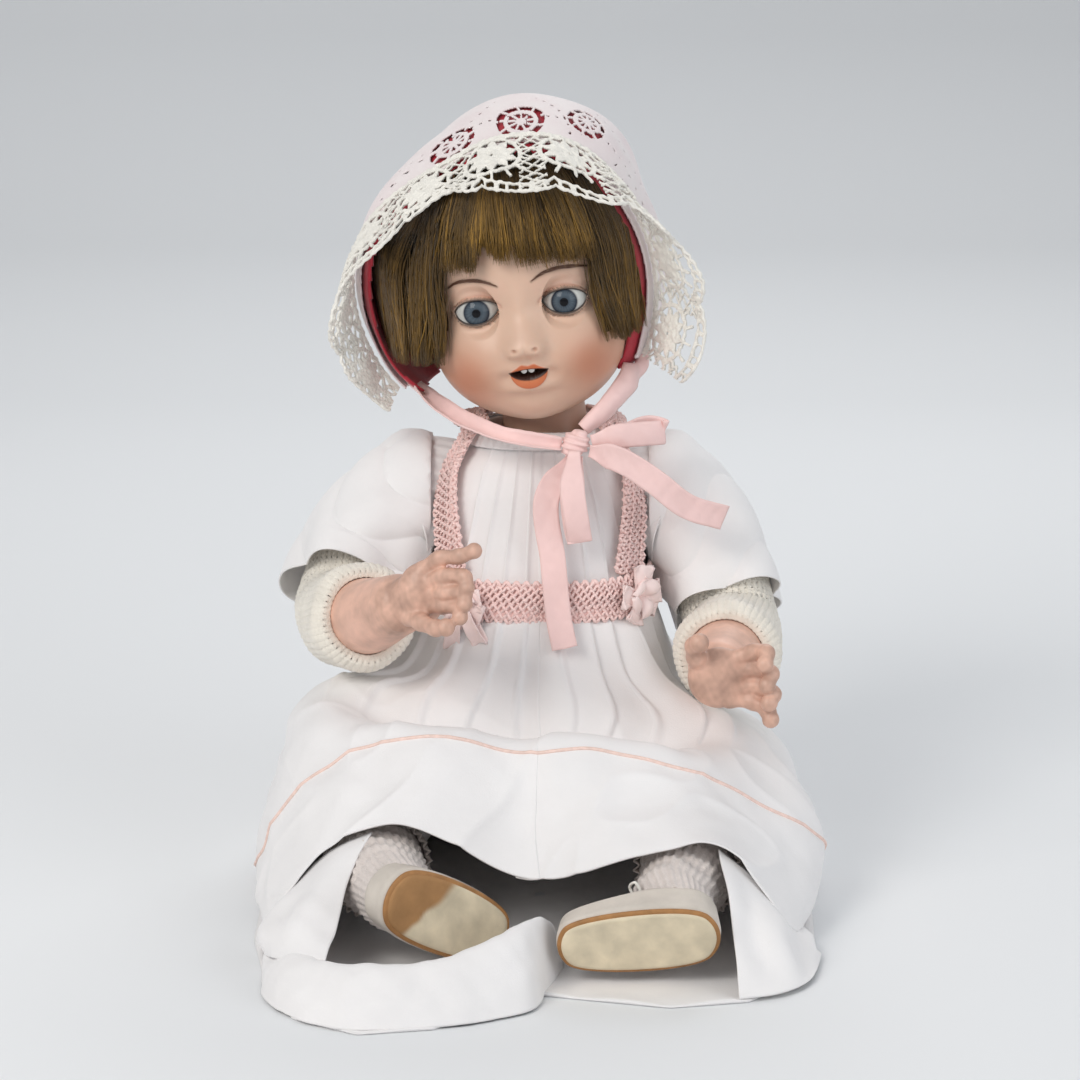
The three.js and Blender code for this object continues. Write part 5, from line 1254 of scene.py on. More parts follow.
def waistband():
    a = np.linspace(0, 2 * np.pi, 400)
    height = np.full(400, WAIST + 2.5)
    path = on_bodice(a, height, 0.6)
    normal = unit(on_bodice(a, height, 3) - path)
    across = np.repeat(np.array([[0, 0, 1.0]]), 400, 0)
    rows = [on_bodice(a, np.full(400, WAIST - 5.5 + 16 * share), 0.1) for share in np.linspace(0, 1, 5)]
    tape = shell(np.stack(rows)[:, :-1], 0.5, True)
    cords = crochet(path, across, normal, BRAID_WIDTH, CORDS)
    braid("braid_waistband", tape, cords, tuple(size * MM for size in WAISTBAND_FLAT))


strap(1, "braid_left_strap")
strap(-1, "braid_right_strap")
waistband()


def rosettes():
    petals = 9
    bulge = np.sin(np.linspace(0.1, math.pi - 0.1, 40))
    for name, angle, lift in (("rosette_left", 0.8, 3.7), ("rosette_right", -0.58, 3.6)):
        spot = on_bodice(angle, WAIST + 2.0, 2.0)
        out = unit((spot - np.array([0, 2, spot[2]])) * np.array([1, 1, 0]))
        up = np.array([0, 0, 1.0])
        right = np.cross(up, out)
        centre = spot + out * (lift - 2.0)
        parts = []
        for k in range(petals):
            turn = k / petals * 2 * math.pi + 0.3 * rng.random()
            inner = k % 2
            radial = right * math.cos(turn) + up * math.sin(turn)
            size = (8.0 if inner else 13.0) + rng.uniform(-1.5, 1.5)
            rise = 4.5 if inner else 2.6
            path = [centre, centre + radial * size * 0.5 + out * rise,
                    centre + radial * size + out * rise * 0.8,
                    centre + radial * size * 0.75 + out * rise * 0.2, centre + radial * 1.5 - out * 0.2]
            cross = [np.cross(radial, out) + 0.3 * out * rng.uniform(-1, 1)]
            parts.append(band(path, cross, 11 * (0.35 + 0.65 * bulge), 0.5, 40, 1.6, 1.1, k * 1.7))
        for dx, dz, seed in ((11, -17, 0.6), (-4, -21, 1.0)) if name == "rosette_right" else ():
            end = centre + right * dx + up * dz + out * 2
            half = (centre + end) / 2
            path = [centre, half + out * 4 + right * 2, end, half - out * 0.3, centre + up * -1]
            parts.append(band(path, [right + 0.3 * up], 8.0 * (0.4 + 0.6 * bulge), 0.5, 40, 0.8, 0.4, seed))
        piece(name + "_silk", gather(parts), "rosette", "torso", (name,))


rosettes()

BUTTON_ROWS = [(0.1, 0.2), (1.6, 0.15), (3.0, 0.6), (3.7, 0.9), (4.0, 0.5), (3.9, 0.0), (3.0, -0.6)]


def buttons():
    a = circle(40)
    for name, z in (("back_button_low", 138), ("back_button_middle", 156), ("back_button_high", 173)):
        y = on_bodice(math.pi, z, 0)[1] + 1.2
        grid = np.array([[(r * math.cos(t), y + h, z + r * math.sin(t)) for t in a] for r, h in BUTTON_ROWS])
        piece(name + "_pearl", shell(grid, -0.5, True), "pearl", "torso", (name,))


buttons()


# Arms

def limb_line(points, radii, aim):
    """Stations along a limb: place, direction, side, up and radius."""
    at = curve(points)
    last = len(points) - 1
    widths = profile([(i, r) for i, r in enumerate(radii)])
    aimed = unit(np.asarray(aim, float))

    def stations(u):
        u = np.atleast_1d(np.asarray(u, float))
        t = np.clip(u / last, 0, 1)
        along = unit(at(np.minimum(t + 1e-4, 1)) - at(np.maximum(t - 1e-4, 0)))
        side = unit(aimed - along * np.sum(along * aimed, 1, keepdims=True))
        return at(t), along, side, np.cross(along, side), widths(u)[:, 0]

    return stations


def limb_grid(line, u, grow, sides, wave=None):
    """Rings round a limb, grown outward by one length or by one for each station."""
    p, _, side, up, radius = line(u)
    a = circle(sides)
    r = radius[:, None] + np.asarray(grow, float).reshape(-1, 1) * np.ones(sides)
    if wave is not None:
        r = r + wave(a[None], np.asarray(u)[:, None])
    around = np.cos(a)[None, :, None] * side[:, None] + np.sin(a)[None, :, None] * up[:, None]
    return p[:, None] + r[..., None] * around


def rounded_end(ring, centre, push, steps):
    """Rings that close in on a limb's end, each given by its push and its share of the end ring."""
    return np.array([centre + (ring - centre) * share + push * reach for reach, share in steps])


def shell_outward(grid, wall, centre):
    """Closed sheet of rings, with its wall on the side away from a centre."""
    points, faces = shell(grid, wall, True)
    reach = np.linalg.norm(points - centre, axis=1)
    half = len(points) // 2
    if reach[half:].mean() < reach[:half].mean():
        return shell(grid, -wall, True)
    return points, faces


ARMS = {
    "left": dict(
        side=1,
        line=[(55, 4, 161), (68, 1, 148), (82, -8, 124), (88, -24, 104), (83, -60, 100), (78, -92, 102)],
        hem_grow=[7.4, 6.2, 6.4, 6.2],
        palm=[((77, -111, 103), (13.5, 6.6, 13.5)), ((78, -104, 102), (12, 9, 12))],
        fingers=[
            [(82, -111, 111), (92, -114, 115), (97, -120, 116), (96, -124, 112)],
            [(84, -112, 106), (95, -115, 108), (99, -121, 107), (97, -124, 103)],
            [(84, -112, 99), (95, -115, 100), (100, -121, 98), (98, -124, 95)],
            [(82, -112, 94), (92, -114, 93), (98, -119, 90), (99, -121, 87)],
            [(71, -110, 107), (67, -115, 113), (66, -119, 119), (68, -122, 121)],
        ],
        thick=4.2,
    ),
    "right": dict(
        side=-1,
        line=[(-55, 4, 161), (-68, 0, 150), (-84, -9, 130), (-89, -28, 113), (-77, -68, 120),
              (-61, -97, 132)],
        hem_grow=[7.4, 7, 9, 9.6],
        palm=[((-51, -108, 139), (10.5, 8, 14)), ((-56, -104, 136), (10, 8.5, 11))],
        fingers=[
            [(-50, -109, 150), (-43, -113, 156), (-34, -118, 158), (-28, -121, 161)],
            [(-48, -111, 145), (-41, -117, 149), (-32, -123, 150), (-31, -125, 146)],
            [(-48, -111, 139), (-41, -118, 142), (-32, -124, 143), (-32, -126, 139)],
            [(-49, -111, 134), (-42, -117, 136), (-34, -123, 136), (-34, -125, 133)],
            [(-56, -110, 130), (-51, -117, 129), (-44, -124, 128), (-40, -127, 129)],
        ],
        thick=3.9,
    ),
}
ARM_RADII = [18, 19.5, 18.5, 17.5, 17, 13.5]


SHOULDER_PLANE, SLEEVE_PLANE = 41.6, 49.3
HAND_CAP = ((0.3, 0.95), (0.55, 0.8), (0.75, 0.6), (0.9, 0.3))
SLEEVE_HEAD = ((0.99, 0.16), (0.93, 0.42), (0.85, 0.6), (0.75, 0.76), (0.62, 0.88), (0.5, 0.96), (0.3, 1.0),
               (0.12, 1.0))
FINGER_JOINTS = 3
KNIT_RIBS = 46
SLEEVE_END = 2.5


def arm_line(arm):
    return limb_line(arm["line"], ARM_RADII, (0.8 * arm["side"], 0, 0.5))


def arm_paint(p):
    """Even skin on the arm, and a worn, blotched hand."""
    shade = np.tile(np.array([0.86, 0.53, 0.41]), (len(p), 1))
    hand = smoothstep(-p[:, 1], 93, 106)[:, None]
    blot = (0.5 + 0.5 * wobble(p, 5.0))[:, None]
    worn = np.array([0.80, 0.49, 0.37]) * (0.76 + 0.4 * blot)
    shade = shade * (1 - hand * 0.85) + worn * hand * 0.85
    fine = (0.5 + 0.5 * wobble(p, 1.7, 2.0))[:, None]
    return shade * (1 - 0.22 * hand * fine)


def finger_parts(finger, thick):
    t = np.linspace(0, 1, 16)
    path = curve(finger)(t)
    swell = 0.93 * thick * (1.0 - 0.10 * t + 0.09 * np.cos(t * FINGER_JOINTS * 2 * math.pi))
    return [capped(tube_grid(path, swell, 14)), ball(path[-1], (thick * 0.93,) * 3, 16, 10),
            ball(path[0], (thick * 1.1,) * 3, 16, 10)]


def arms():
    for name, arm in ARMS.items():
        side = arm["side"]
        line = arm_line(arm)
        grid = limb_grid(line, np.linspace(0.3, 5, 40), 0.0, 40)
        end = limb_grid(line, np.array([5.0]), 0.0, 40)[0]
        p, along, _, _, radius = line([5.0])
        cap = rounded_end(end, p[0], along[0] * radius[0], HAND_CAP)
        parts = [capped(np.concatenate([grid, cap])), ball(arm["line"][0], (18.2,) * 3)]
        parts += [ball(centre, semi) for centre, semi in arm["palm"]]
        for k, finger in enumerate(arm["fingers"]):
            parts += finger_parts(finger, arm["thick"] * (1.12 if k == 4 else 1.0))
        p, faces = remeshed(name + "_arm", parts, 0.72, 3)
        inner = (np.abs(p[:, 0]) < SHOULDER_PLANE) & (p[:, 0] * side > 0) & (p[:, 1] > -30)
        p[inner, 0] = side * SHOULDER_PLANE
        piece(name + "_arm_composition", (p, faces), "paste", name + "_arm_unit",
              (name + "_arm",), arm_paint(p))


arms()


def beside_bodice(made, side, plane):
    """Keeps what rides a limb on its own side of a plane beside the torso."""
    p, faces = made
    p[:, 0] = side * np.maximum(p[:, 0] * side, plane)
    return p, faces


def knit_ribs(a, v):
    cuff = smoothstep(v, 2.9, 3.1)
    stitch = 0.42 * np.sin(a * KNIT_RIBS) * (0.5 + 0.5 * cuff)
    stitch = stitch + 0.22 * np.sin(v * 150 + 2 * np.cos(a * KNIT_RIBS)) * (1 - 0.4 * cuff)
    stitch = stitch + 0.9 * (1 - cuff) * np.sin(a * 3 + v * 2.3) * np.sin(v * 3.1)
    return stitch + 0.35 * np.sin(a * 5 + v * 4)


def knit_sleeve(name, arm, line):
    """Knit sleeve with a ribbed cuff that rolls in to the wrist."""
    u = np.concatenate([np.linspace(0.9, 3.55, 46), np.linspace(3.57, 4.02, 22)])
    grow = 1.6 + 2 * smoothstep(u, 2.4, 4) + 1.6 * np.exp(-((u - 3.9) / 0.22) ** 2)
    grow = grow - 1.6 * smoothstep(u, 3.9, 4.02)
    grid = limb_grid(line, u, grow, 380, knit_ribs)
    wrist = limb_grid(line, np.array([4.0]), 0.5, 380)[0]
    rolled = [grid[-1] + (wrist - grid[-1]) * share for share in (0.25, 0.5, 0.75, 0.95)]
    grid = np.concatenate([grid, np.array(rolled)])
    made = beside_bodice(shell_outward(grid, 1.9, line([2])[0]), arm["side"], SLEEVE_PLANE)
    obj = piece(name + "_knit_sleeve_wool", made, "knit", name + "_arm_unit",
                (name + "_knit_sleeve",))


def sleeve_folds(a, v):
    w = v / SLEEVE_END
    deep = 2.6 * w * np.sin(a * 4 + 0.6 * np.sin(v * 2)) + 0.9 * np.sin(a * 3 + 1 + v * 1.6)
    deep = deep + 0.7 * np.sin(a * 7 + v * 3.0) * w
    crease = 2.0 * np.abs(np.sin(v * 2.6 + 1.5 * np.sin(a * 2 + 0.6))) ** 0.7
    return deep + crease - 0.5


def lawn_sleeve(name, arm, line):
    """Short lawn sleeve with a full head and a hem."""
    grow = profile([(i * SLEEVE_END / 3, g) for i, g in enumerate(arm["hem_grow"])])
    u = np.concatenate([np.linspace(0, SLEEVE_END - 0.02, 70), [SLEEVE_END - 0.01, SLEEVE_END]])
    grid = limb_grid(line, u, grow(u)[:, 0] + 0.8, 200, sleeve_folds)
    p, along, _, _, radius = line([0.0])
    big = radius[0] + grow([0.0])[0, 0] + 0.8
    grid = np.concatenate([rounded_end(grid[0], p[0], -along[0] * big, SLEEVE_HEAD), grid])
    made = beside_bodice(shell_outward(grid, 0.8, p[0]), arm["side"], SLEEVE_PLANE)
    obj = piece(name + "_sleeve_lawn", made, "cotton", name + "_arm_unit",
                (name + "_sleeve",))


for name, arm in ARMS.items():
    knit_sleeve(name, arm, arm_line(arm))
    lawn_sleeve(name, arm, arm_line(arm))


def armholes():
    """A gathered ring of lawn at each armhole, between the bodice and the sleeve."""
    count = 220
    a = circle(count)
    low = smoothstep(-np.sin(a), -0.1, 0.6)
    for side, name in ((1, "left"), (-1, "right")):
        rows = []
        for share in np.linspace(0, 1, 12):
            r = 22 + (4.5 + 8 * low) * share ** 0.7
            y = SHOULDER[1] + r * np.cos(a)
            z = np.minimum(SHOULDER[2] + r * np.sin(a), BODICE_TOP - 1)
            width = TORSO(z)
            half = width[:, 0] + BODICE_GROW + 1.2
            depth = np.where(y < 2, width[:, 1], width[:, 2]) + BODICE_GROW + 1.2
            base = half * np.maximum(1 - np.minimum(np.abs(y - 2) / depth, 1) ** SQUARE, 0) ** (1 / SQUARE)
            x = base + (56.5 - 5.9 * low - base) * smoothstep(np.full(count, share), 0, 1.0)
            pucker = 0.55 * np.sin(a * 22 + share * 2) * math.sin(math.pi * min(share + 0.1, 1))
            rows.append(np.stack([side * (x + pucker), y + pucker * np.cos(a), z + pucker * np.sin(a)], -1))
        ring = shell(np.array(rows), 0.7 * side, True)
        obj = piece(name + "_armhole_lawn", ring, "cotton", None)
        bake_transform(obj)


armholes()


# Skirt

# Cloth, each row from one side to the other, from the waist down
SKIRT_FRONT = [
    [(-45, 24, 115.6), (-51, -4, 115.6), (-44, -32, 115.6), (-26, -50, 115.6), (0, -57, 115.6),
     (26, -50, 115.6), (44, -32, 115.6), (51, -4, 115.6), (45, 24, 115.6)],
    [(-66, 28, 84), (-70, -10, 84), (-60, -44, 89), (-34, -62, 93), (0, -68, 95),
     (34, -62, 92), (58, -44, 84), (68, -10, 74), (65, 28, 80)],
    [(-98, 22, 46), (-106, -22, 63), (-86, -60, 88), (-45, -83, 81), (0, -87, 75),
     (45, -83, 77), (80, -62, 72), (102, -22, 56), (96, 22, 46)],
    [(-115, 0, 5), (-119, -60, 43), (-91, -100, 85), (-48, -110, 73), (0, -110, 65),
     (30, -110, 68), (80, -103, 68), (112, -62, 44), (111, 0, 5)],
    [(-120, -50, 2), (-122, -108, 26), (-85, -128, 73), (-48, -136, 83), (0, -136, 77),
     (22, -138, 80), (75, -132, 63), (119, -108, 33), (118, -50, 2)],
    [(-119, -105, 2), (-120, -140, 14), (-87, -152, 60), (-52, -159, 68), (-2, -162, 49),
     (28, -164, 58), (74, -156, 54), (116, -140, 18), (117, -105, 2)],
    [(-115, -150, 2), (-113, -172, 10), (-90, -172, 44), (-62, -176, 57), (0, -182, 34),
     (42, -188, 46), (76, -184, 48), (104, -182, 14), (111, -150, 2)],
]
# Sheets that close the front's ends, on the picture's left and right
HEM_LEFT = [
    [(-116, -138, 3), (-114, -164, 9), (-103, -167, 26), (-88, -168, 42), (-70, -170, 51)],
    [(-117, -146, 2.5), (-117, -174, 10), (-109, -186, 22), (-97, -191, 31), (-79, -190, 37)],
    [(-117, -158, 2), (-117, -184, 9), (-113, -203, 16), (-103, -214, 22), (-83, -214, 24)],
    [(-115, -170, 2), (-114.5, -187, 6.5), (-111.5, -206, 10), (-105, -225, 14.5), (-86, -236, 17.5)],
]
HEM_RIGHT = [
    [(74, -178, 46), (89, -178, 33), (103, -176, 14), (112, -150, 3)],
    [(77, -200, 31), (92, -200, 24), (107, -192, 11), (115, -165, 2.5)],
    [(79, -220, 15), (95, -216, 12), (109, -204, 6), (116, -175, 2)],
    [(80, -237, 1.6), (97, -230, 1.6), (110, -214, 1.6), (117, -182, 1.5)],
]
SKIRT_BACK = [
    [(48, 8, 113), (44, 23, 114.8), (33, 42, 115.6), (0, 48, 115.6),
     (-33, 42, 115.6), (-44, 23, 114.8), (-48, 8, 113)],
    [(63, 4, 77), (62, 24, 80), (46, 56, 86), (0, 64, 90), (-46, 56, 86), (-63, 24, 84), (-64, 4, 80)],
    [(94, -6, 47), (92, 18, 44), (66, 64, 48), (0, 78, 54), (-66, 64, 48), (-94, 18, 44), (-97, -6, 49)],
    [(104, -28, 14), (106, -2, 5), (74, 66, 12), (0, 84, 18),
     (-74, 66, 12), (-110, -2, 5), (-110, -28, 13)],
    [(112, -74, 1.2), (113, -50, 0.4), (70, 56, 0.4), (0, 76, 0.4),
     (-70, 56, 0.4), (-115, -50, 0.4), (-114, -74, 1.2)],
]
# The hem that lies before the feet in a ridge, and the outline of the cloth on the floor
HEM_RIDGE = [
    [(-99, -180, 0.4), (-101, -181, 7), (-106, -183, 12), (-113, -185, 7), (-114, -186, 0.4)],
    [(-88, -216, 0.4), (-91, -220, 10), (-98, -228, 17), (-106, -236, 9), (-108, -240, 0.4)],
    [(-68, -234, 0.4), (-70, -238, 11), (-74, -248, 19), (-79, -262, 10), (-81, -268, 0.4)],
    [(-44, -236, 0.4), (-44, -239, 12), (-44, -246, 20), (-44, -261, 11), (-44, -267, 0.4)],
    [(-20, -222, 0.4), (-19, -224, 16), (-15, -230, 26), (-9, -243, 13), (-6, -249, 0.4)],
    [(-5, -205, 0.4), (-4, -207, 18), (-1, -212, 27), (1, -219, 14), (2, -224, 0.4)],
    [(2, -186, 0.4), (3, -187, 9), (6, -189, 13), (8, -192, 8), (9, -195, 0.4)],
]
FLOOR_OUTLINE = [
    (106, 4), (117, -50), (119, -105), (116, -165), (104, -212),
     (84, -236), (52, -243), (20, -234), (0, -228),
    (-18, -246), (-42, -268), (-72, -274), (-98, -256), (-112, -215),
     (-121, -160), (-122, -105), (-120, -50),
    (-109, 4), (-84, 42), (-60, 66), (-30, 74), (0, 76), (30, 74), (60, 66), (84, 42),
]


def lay(rows, columns):
    """How far down and how far across each point of a cloth lies, from 0 to 1."""
    down = np.linspace(0, 1, rows)[:, None] * np.ones(columns)
    return down, np.linspace(0, 1, columns)[None] * np.ones((rows, 1))


def facing(grid, row, column, axis):
    """1 if the grid's normals point along the axis there, otherwise -1."""
    return 1 if grid_normals(grid)[row, column, axis] > 0 else -1


def above_floor(grid, height):
    grid[..., 2] = np.maximum(grid[..., 2], height)
    return grid


def pleated(grid, depth, folds, foot):
    down, over = lay(*grid.shape[:2])
    fade = np.minimum(np.sin(np.pi * over) * 2, 1) * (1 - foot * down) * np.minimum(down * 4, 1)
    out = unit(unit(grid * np.array([1, 1, 0])) + np.array([0, 0, 0.6]))
    phase = over * folds * 2 * np.pi
    wave = np.sin(phase + 0.35 * np.sin(phase))
    return grid + out * (depth * fade * wave)[..., None]


def waist_gathers():
    rows, columns = 16, 640
    z = np.linspace(107.5, WAIST + 1, rows)[:, None] * np.ones(columns)
    a = circle(columns)[None] * np.ones((rows, 1))
    s = (a * 60 / (2 * np.pi)) % 1
    fold = 1.5 * (np.exp(-(s / 0.2) ** 2) + 0.4 * s) * smoothstep(WAIST - z, -2, 9)
    grid = torso_point(a, z, BODICE_GROW + 0.8 + fold + flare(a, z) * smoothstep(z, 104, 116))
    piece("skirt_waist_gathers", shell(grid, 0.7, True), "cotton", "torso")


waist_gathers()


def hem_side(table):
    hem = smooth_grid(table, 60, 90)
    down, over = lay(60, 90)
    edge = np.sin(np.pi * down)
    fold = (1.6 * np.sin(over * 15 + 1.4 * edge) + 1.2 * wobble(hem, 12, 2.0)) * edge
    return shell(above_floor(hem + grid_normals(hem) * fold[..., None], 1.2), 0.8)


def front_folds(grid, down, over):
    """Pleats under the waistband, a dip and a ridge across the lap, and soft creases below."""
    s = over * 17 + 0.1 * np.sin(down * 7 + over * 40)
    pleat = np.exp(-((s % 1) / 0.1) ** 2) + 0.75 * (s % 1) ** 1.5
    aside = np.abs(over - 0.5)
    upper = smoothstep(0.5 - down, 0, 0.16) * smoothstep(down, 0.0, 0.03) * smoothstep(0.36 - aside, 0, 0.06)
    lap = smoothstep(0.3 - aside, 0, 0.12)
    lift = 2.6 * pleat * upper
    lift = lift - 6.0 * np.exp(-(((down - 0.43) / 0.07) ** 2)) * lap
    lift = lift + 3.5 * np.exp(-(((down - 0.63) / 0.05) ** 2)) * lap
    lift = lift + 1.6 * wobble(grid, 30, 1.0) * smoothstep(down, 0.15, 0.4)
    lift = lift + 0.7 * wobble(grid, 12, 4.0) * smoothstep(down, 0.2, 0.5)
    crease = 1 - np.abs(wobble(grid, 34, 7.0))
    return lift + 1.6 * crease ** 6 * smoothstep(down, 0.25, 0.45)


LINE_HEIGHT = 0.69
OVERLAP = 8


def skirt_front():
    """Two halves that meet in the middle, the left one tucked under the right one's edge."""
    rows, columns = 150, 360
    middle = columns // 2
    grid = pleated(smooth_grid(SKIRT_FRONT, rows, columns), 4.0, 6, 0.9)
    n = grid_normals(grid) * facing(grid, 20, middle, 2)
    grid = above_floor(grid + n * front_folds(grid, *lay(rows, columns))[..., None], 1.7)
    out = facing(grid, 20, middle, 2)
    row = int(LINE_HEIGHT * rows)
    line = grid[row, 6:-6] + n[row, 6:-6]
    under = np.zeros(columns)
    under[middle - OVERLAP : middle + 2] = 1.1 * smoothstep(np.linspace(1, 0, OVERLAP + 2), 0, 1)
    tucked = grid - grid_normals(grid) * out * under[:, None]
    halves = ((-1, "right", grid[:, : middle + 1], HEM_LEFT, line[: middle - 5]),
              (1, "left", tucked[:, middle - OVERLAP :], HEM_RIGHT, line[middle - 6 :]))
    for side, name, cloth, table, thread in halves:
        made = gather([shell(cloth, 0.8 * out), hem_side(table)])
        front = piece("skirt_front_lawn_" + name, made, "cotton", None, ("skirt_front",))
        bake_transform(front)
        pink = piece("hem_pink_line_" + name, tube(thread, 0.8, 6), "pink_line", None)
        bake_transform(pink)


def back_folds(grid, down, over):
    s = over * 20
    pleat = np.exp(-(((s + 0.12 * np.sin(down * 9 + s)) % 1) / 0.2) ** 2) + 0.4 * (s % 1)
    lift = 1.6 * pleat * smoothstep(0.6 - down, 0, 0.4) * smoothstep(down, 0, 0.04)
    lift = lift * smoothstep(0.42 - np.abs(over - 0.5), 0, 0.05)
    soft = 1.5 * wobble(grid, 30, 2.0) + 0.6 * wobble(grid, 12, 5.0)
    return lift + soft * smoothstep(down, 0.15, 0.4) * (1 - smoothstep(down, 0.85, 1.0))


def floor_cloth():
    """Cloth that lies on the floor within an outline, with a raised, wavy edge."""
    count = 360
    outline = np.array([(x, y, 0) for x, y in FLOOR_OUTLINE + FLOOR_OUTLINE[:1]])
    t = np.linspace(0, len(FLOOR_OUTLINE), count, endpoint=False)
    border = np.stack([np.interp(t, np.arange(len(outline)), outline[:, k]) for k in range(3)], -1)
    middle = np.array([0, -95, 0.0])
    flat = np.array([1, 1, 0])
    edge_wave = 0.5 + 0.5 * np.sin(np.arange(count) * 0.35)
    rings = []
    for share in np.linspace(0.02, 1, 70):
        ring = middle + (border - middle) * share
        rim = 0.9 * smoothstep(share, 0.9, 1.0) * edge_wave
        ring[:, 2] = 0.75 + 0.35 * wobble(ring, 14) * (share < 0.97) + rim
        rings.append(ring)
    rings.append(rings[-1] * flat + np.array([0, 0, 0.15]))
    rings += [(middle + (border - middle) * share) * flat + np.array([0, 0, 0.05])
              for share in (0.9, 0.5, 0.02)]
    return np.array(rings).reshape(-1, 3), grid_faces(len(rings), count, True)


def skirt_back():
    rows, columns = 110, 300
    grid = pleated(smooth_grid(SKIRT_BACK, rows, columns), 3.0, 3, 0.6)
    n = grid_normals(grid) * facing(grid, 50, columns // 2, 1)
    grid = above_floor(grid + n * back_folds(grid, *lay(rows, columns))[..., None], 0.5)
    back = shell(grid, 0.8 * facing(grid, 50, columns // 2, 1))
    ridge = smooth_grid(HEM_RIDGE, 120, 50)
    n = grid_normals(ridge) * facing(ridge, 60, 25, 2)
    fold = 0.9 * wobble(ridge, 15, 3.0) + 0.5 * wobble(ridge, 6, 1.0)
    ridge = above_floor(ridge + n * fold[..., None], 0.5)
    parts = [back, shell(ridge, 1.0 * facing(ridge, 60, 25, 2)), floor_cloth()]
    obj = piece("skirt_back_lawn", gather(parts), "cotton", "torso", ("skirt_back",))


skirt_front()
skirt_back()


# Legs, socks and shoes

LEGS = {
    "left": dict(side=1, line=[(54, 2, 42), (66, -50, 37), (72, -98, 33), (64, -146, 30), (53, -201, 27.5)],
                 heel=(56, -221, 21.4), toward=(-0.99, 0, -0.1), facing=(0, -0.94, -0.34), browned=0),
    "right": dict(side=-1, line=[(-54, 2, 42), (-67, -52, 37), (-74, -100, 34), (-70, -148, 32),
                                (-60, -194, 32)],
                  heel=(-49, -212, 32.4), toward=(0.715, 0.512, -0.47), facing=(0.58, -0.81, 0),
                  browned=1),
}
LEG_RADII = [26.5, 25, 21.5, 19, 14.5]
SHOE_LENGTH, SHOE_WIDTH, SOLE = 64.0, 34.0, 2.0
HEEL_RADIUS = SHOE_WIDTH / 2 - 1
TOE_RADIUS = HEEL_RADIUS * 0.78
FOOT_LENGTH = SHOE_LENGTH - HEEL_RADIUS - TOE_RADIUS
FOOT_BASE = SOLE + 1.6 + 1.2 + 0.8 + 0.4


def foot_frame(leg):
    into = -unit(np.array(leg["facing"], float))
    toe = np.array(leg["toward"], float)
    toe = unit(toe - into * toe.dot(into))
    return np.stack([toe, np.cross(into, toe), into], 1), np.array(leg["heel"], float)


def sole_outline(grow, count):
    t = np.linspace(0, 2 * np.pi, count, endpoint=False)
    forward = (1 + np.cos(t)) / 2
    r = HEEL_RADIUS + (TOE_RADIUS - HEEL_RADIUS) * forward + grow
    return np.stack([FOOT_LENGTH * smoothstep(forward, 0.1, 0.9) + r * np.cos(t), r * np.sin(t)], -1)


def on_foot(leg, local):
    turn, origin = foot_frame(leg)
    return local @ turn.T + origin


FOOT_TOP = 24.0


def foot_grid(leg, grow, base, count=120, rows=24):
    """Rings from the sole up over the foot, lower toward the toes."""
    steps = [base, base + 0.6, base + 1.4, base + 2.5]
    height = np.concatenate([steps, np.linspace(base + 3.5, FOOT_TOP, rows)])
    shrink = np.interp(height, [*steps, 15, 19, 24], [1.6, 0.7, 0.2, 0, 1, 3.6, 9])
    rings = []
    for z, s in zip(height, shrink):
        q = sole_outline(grow - s, count)
        fall = 1 - 0.42 * smoothstep(q[:, 0], 0, FOOT_LENGTH + TOE_RADIUS)
        up = base + (z - base + grow * np.interp(z, [base, FOOT_TOP], [0, 1])) * fall
        rings.append(on_foot(leg, np.stack([q[:, 0], q[:, 1], up], -1)))
    return np.array(rings)


KNEE = 0.5 + (3.9 - 0.5) * 5 / 7
ANKLE = 3.9
DRAWERS_PLANE = 46.4
THROAT = 13.5
# Distance back along the leg and outward of each ring of the sock's lace
RUFFLE = ((2, 0.4), (0, 1.4), (-2.5, 2.6), (-5.5, 3.2), (-8.5, 3.0), (-11, 3.4))
# Outward growth and height of the sole's rings
WELT = ((0.2, 0.15), (1.0, 0.6), (1.25, 1.1), (1.0, 1.7), (0.2, 2.0), (-6, 2.0))
LACE_KNOT = np.array([13.0, 0, 21.5])
LACE_ENDS = ((3, 11, 4), (3, -11, 4), (-2, 7, 9), (9, -6, 7))


def drawers(name, leg, line):
    def puff(a, v):
        gathers = 1.1 * np.sin(a * 9 + 1.2 * np.sin(v * 3)) * smoothstep(v, 0.6, KNEE)
        return gathers + 0.8 * np.sin(a * 4 + v * 2)

    u = np.linspace(0.05, KNEE, 80)
    grid = limb_grid(line, u, 2.8 - 1.2 * smoothstep(u, 1.9, KNEE), 160, puff)
    made = beside_bodice(shell(grid, 0.7, True), leg["side"], DRAWERS_PLANE)
    obj = piece(name + "_drawers_leg_lawn", made, "cotton", name + "_leg_unit",
                (name + "_drawers_leg",))


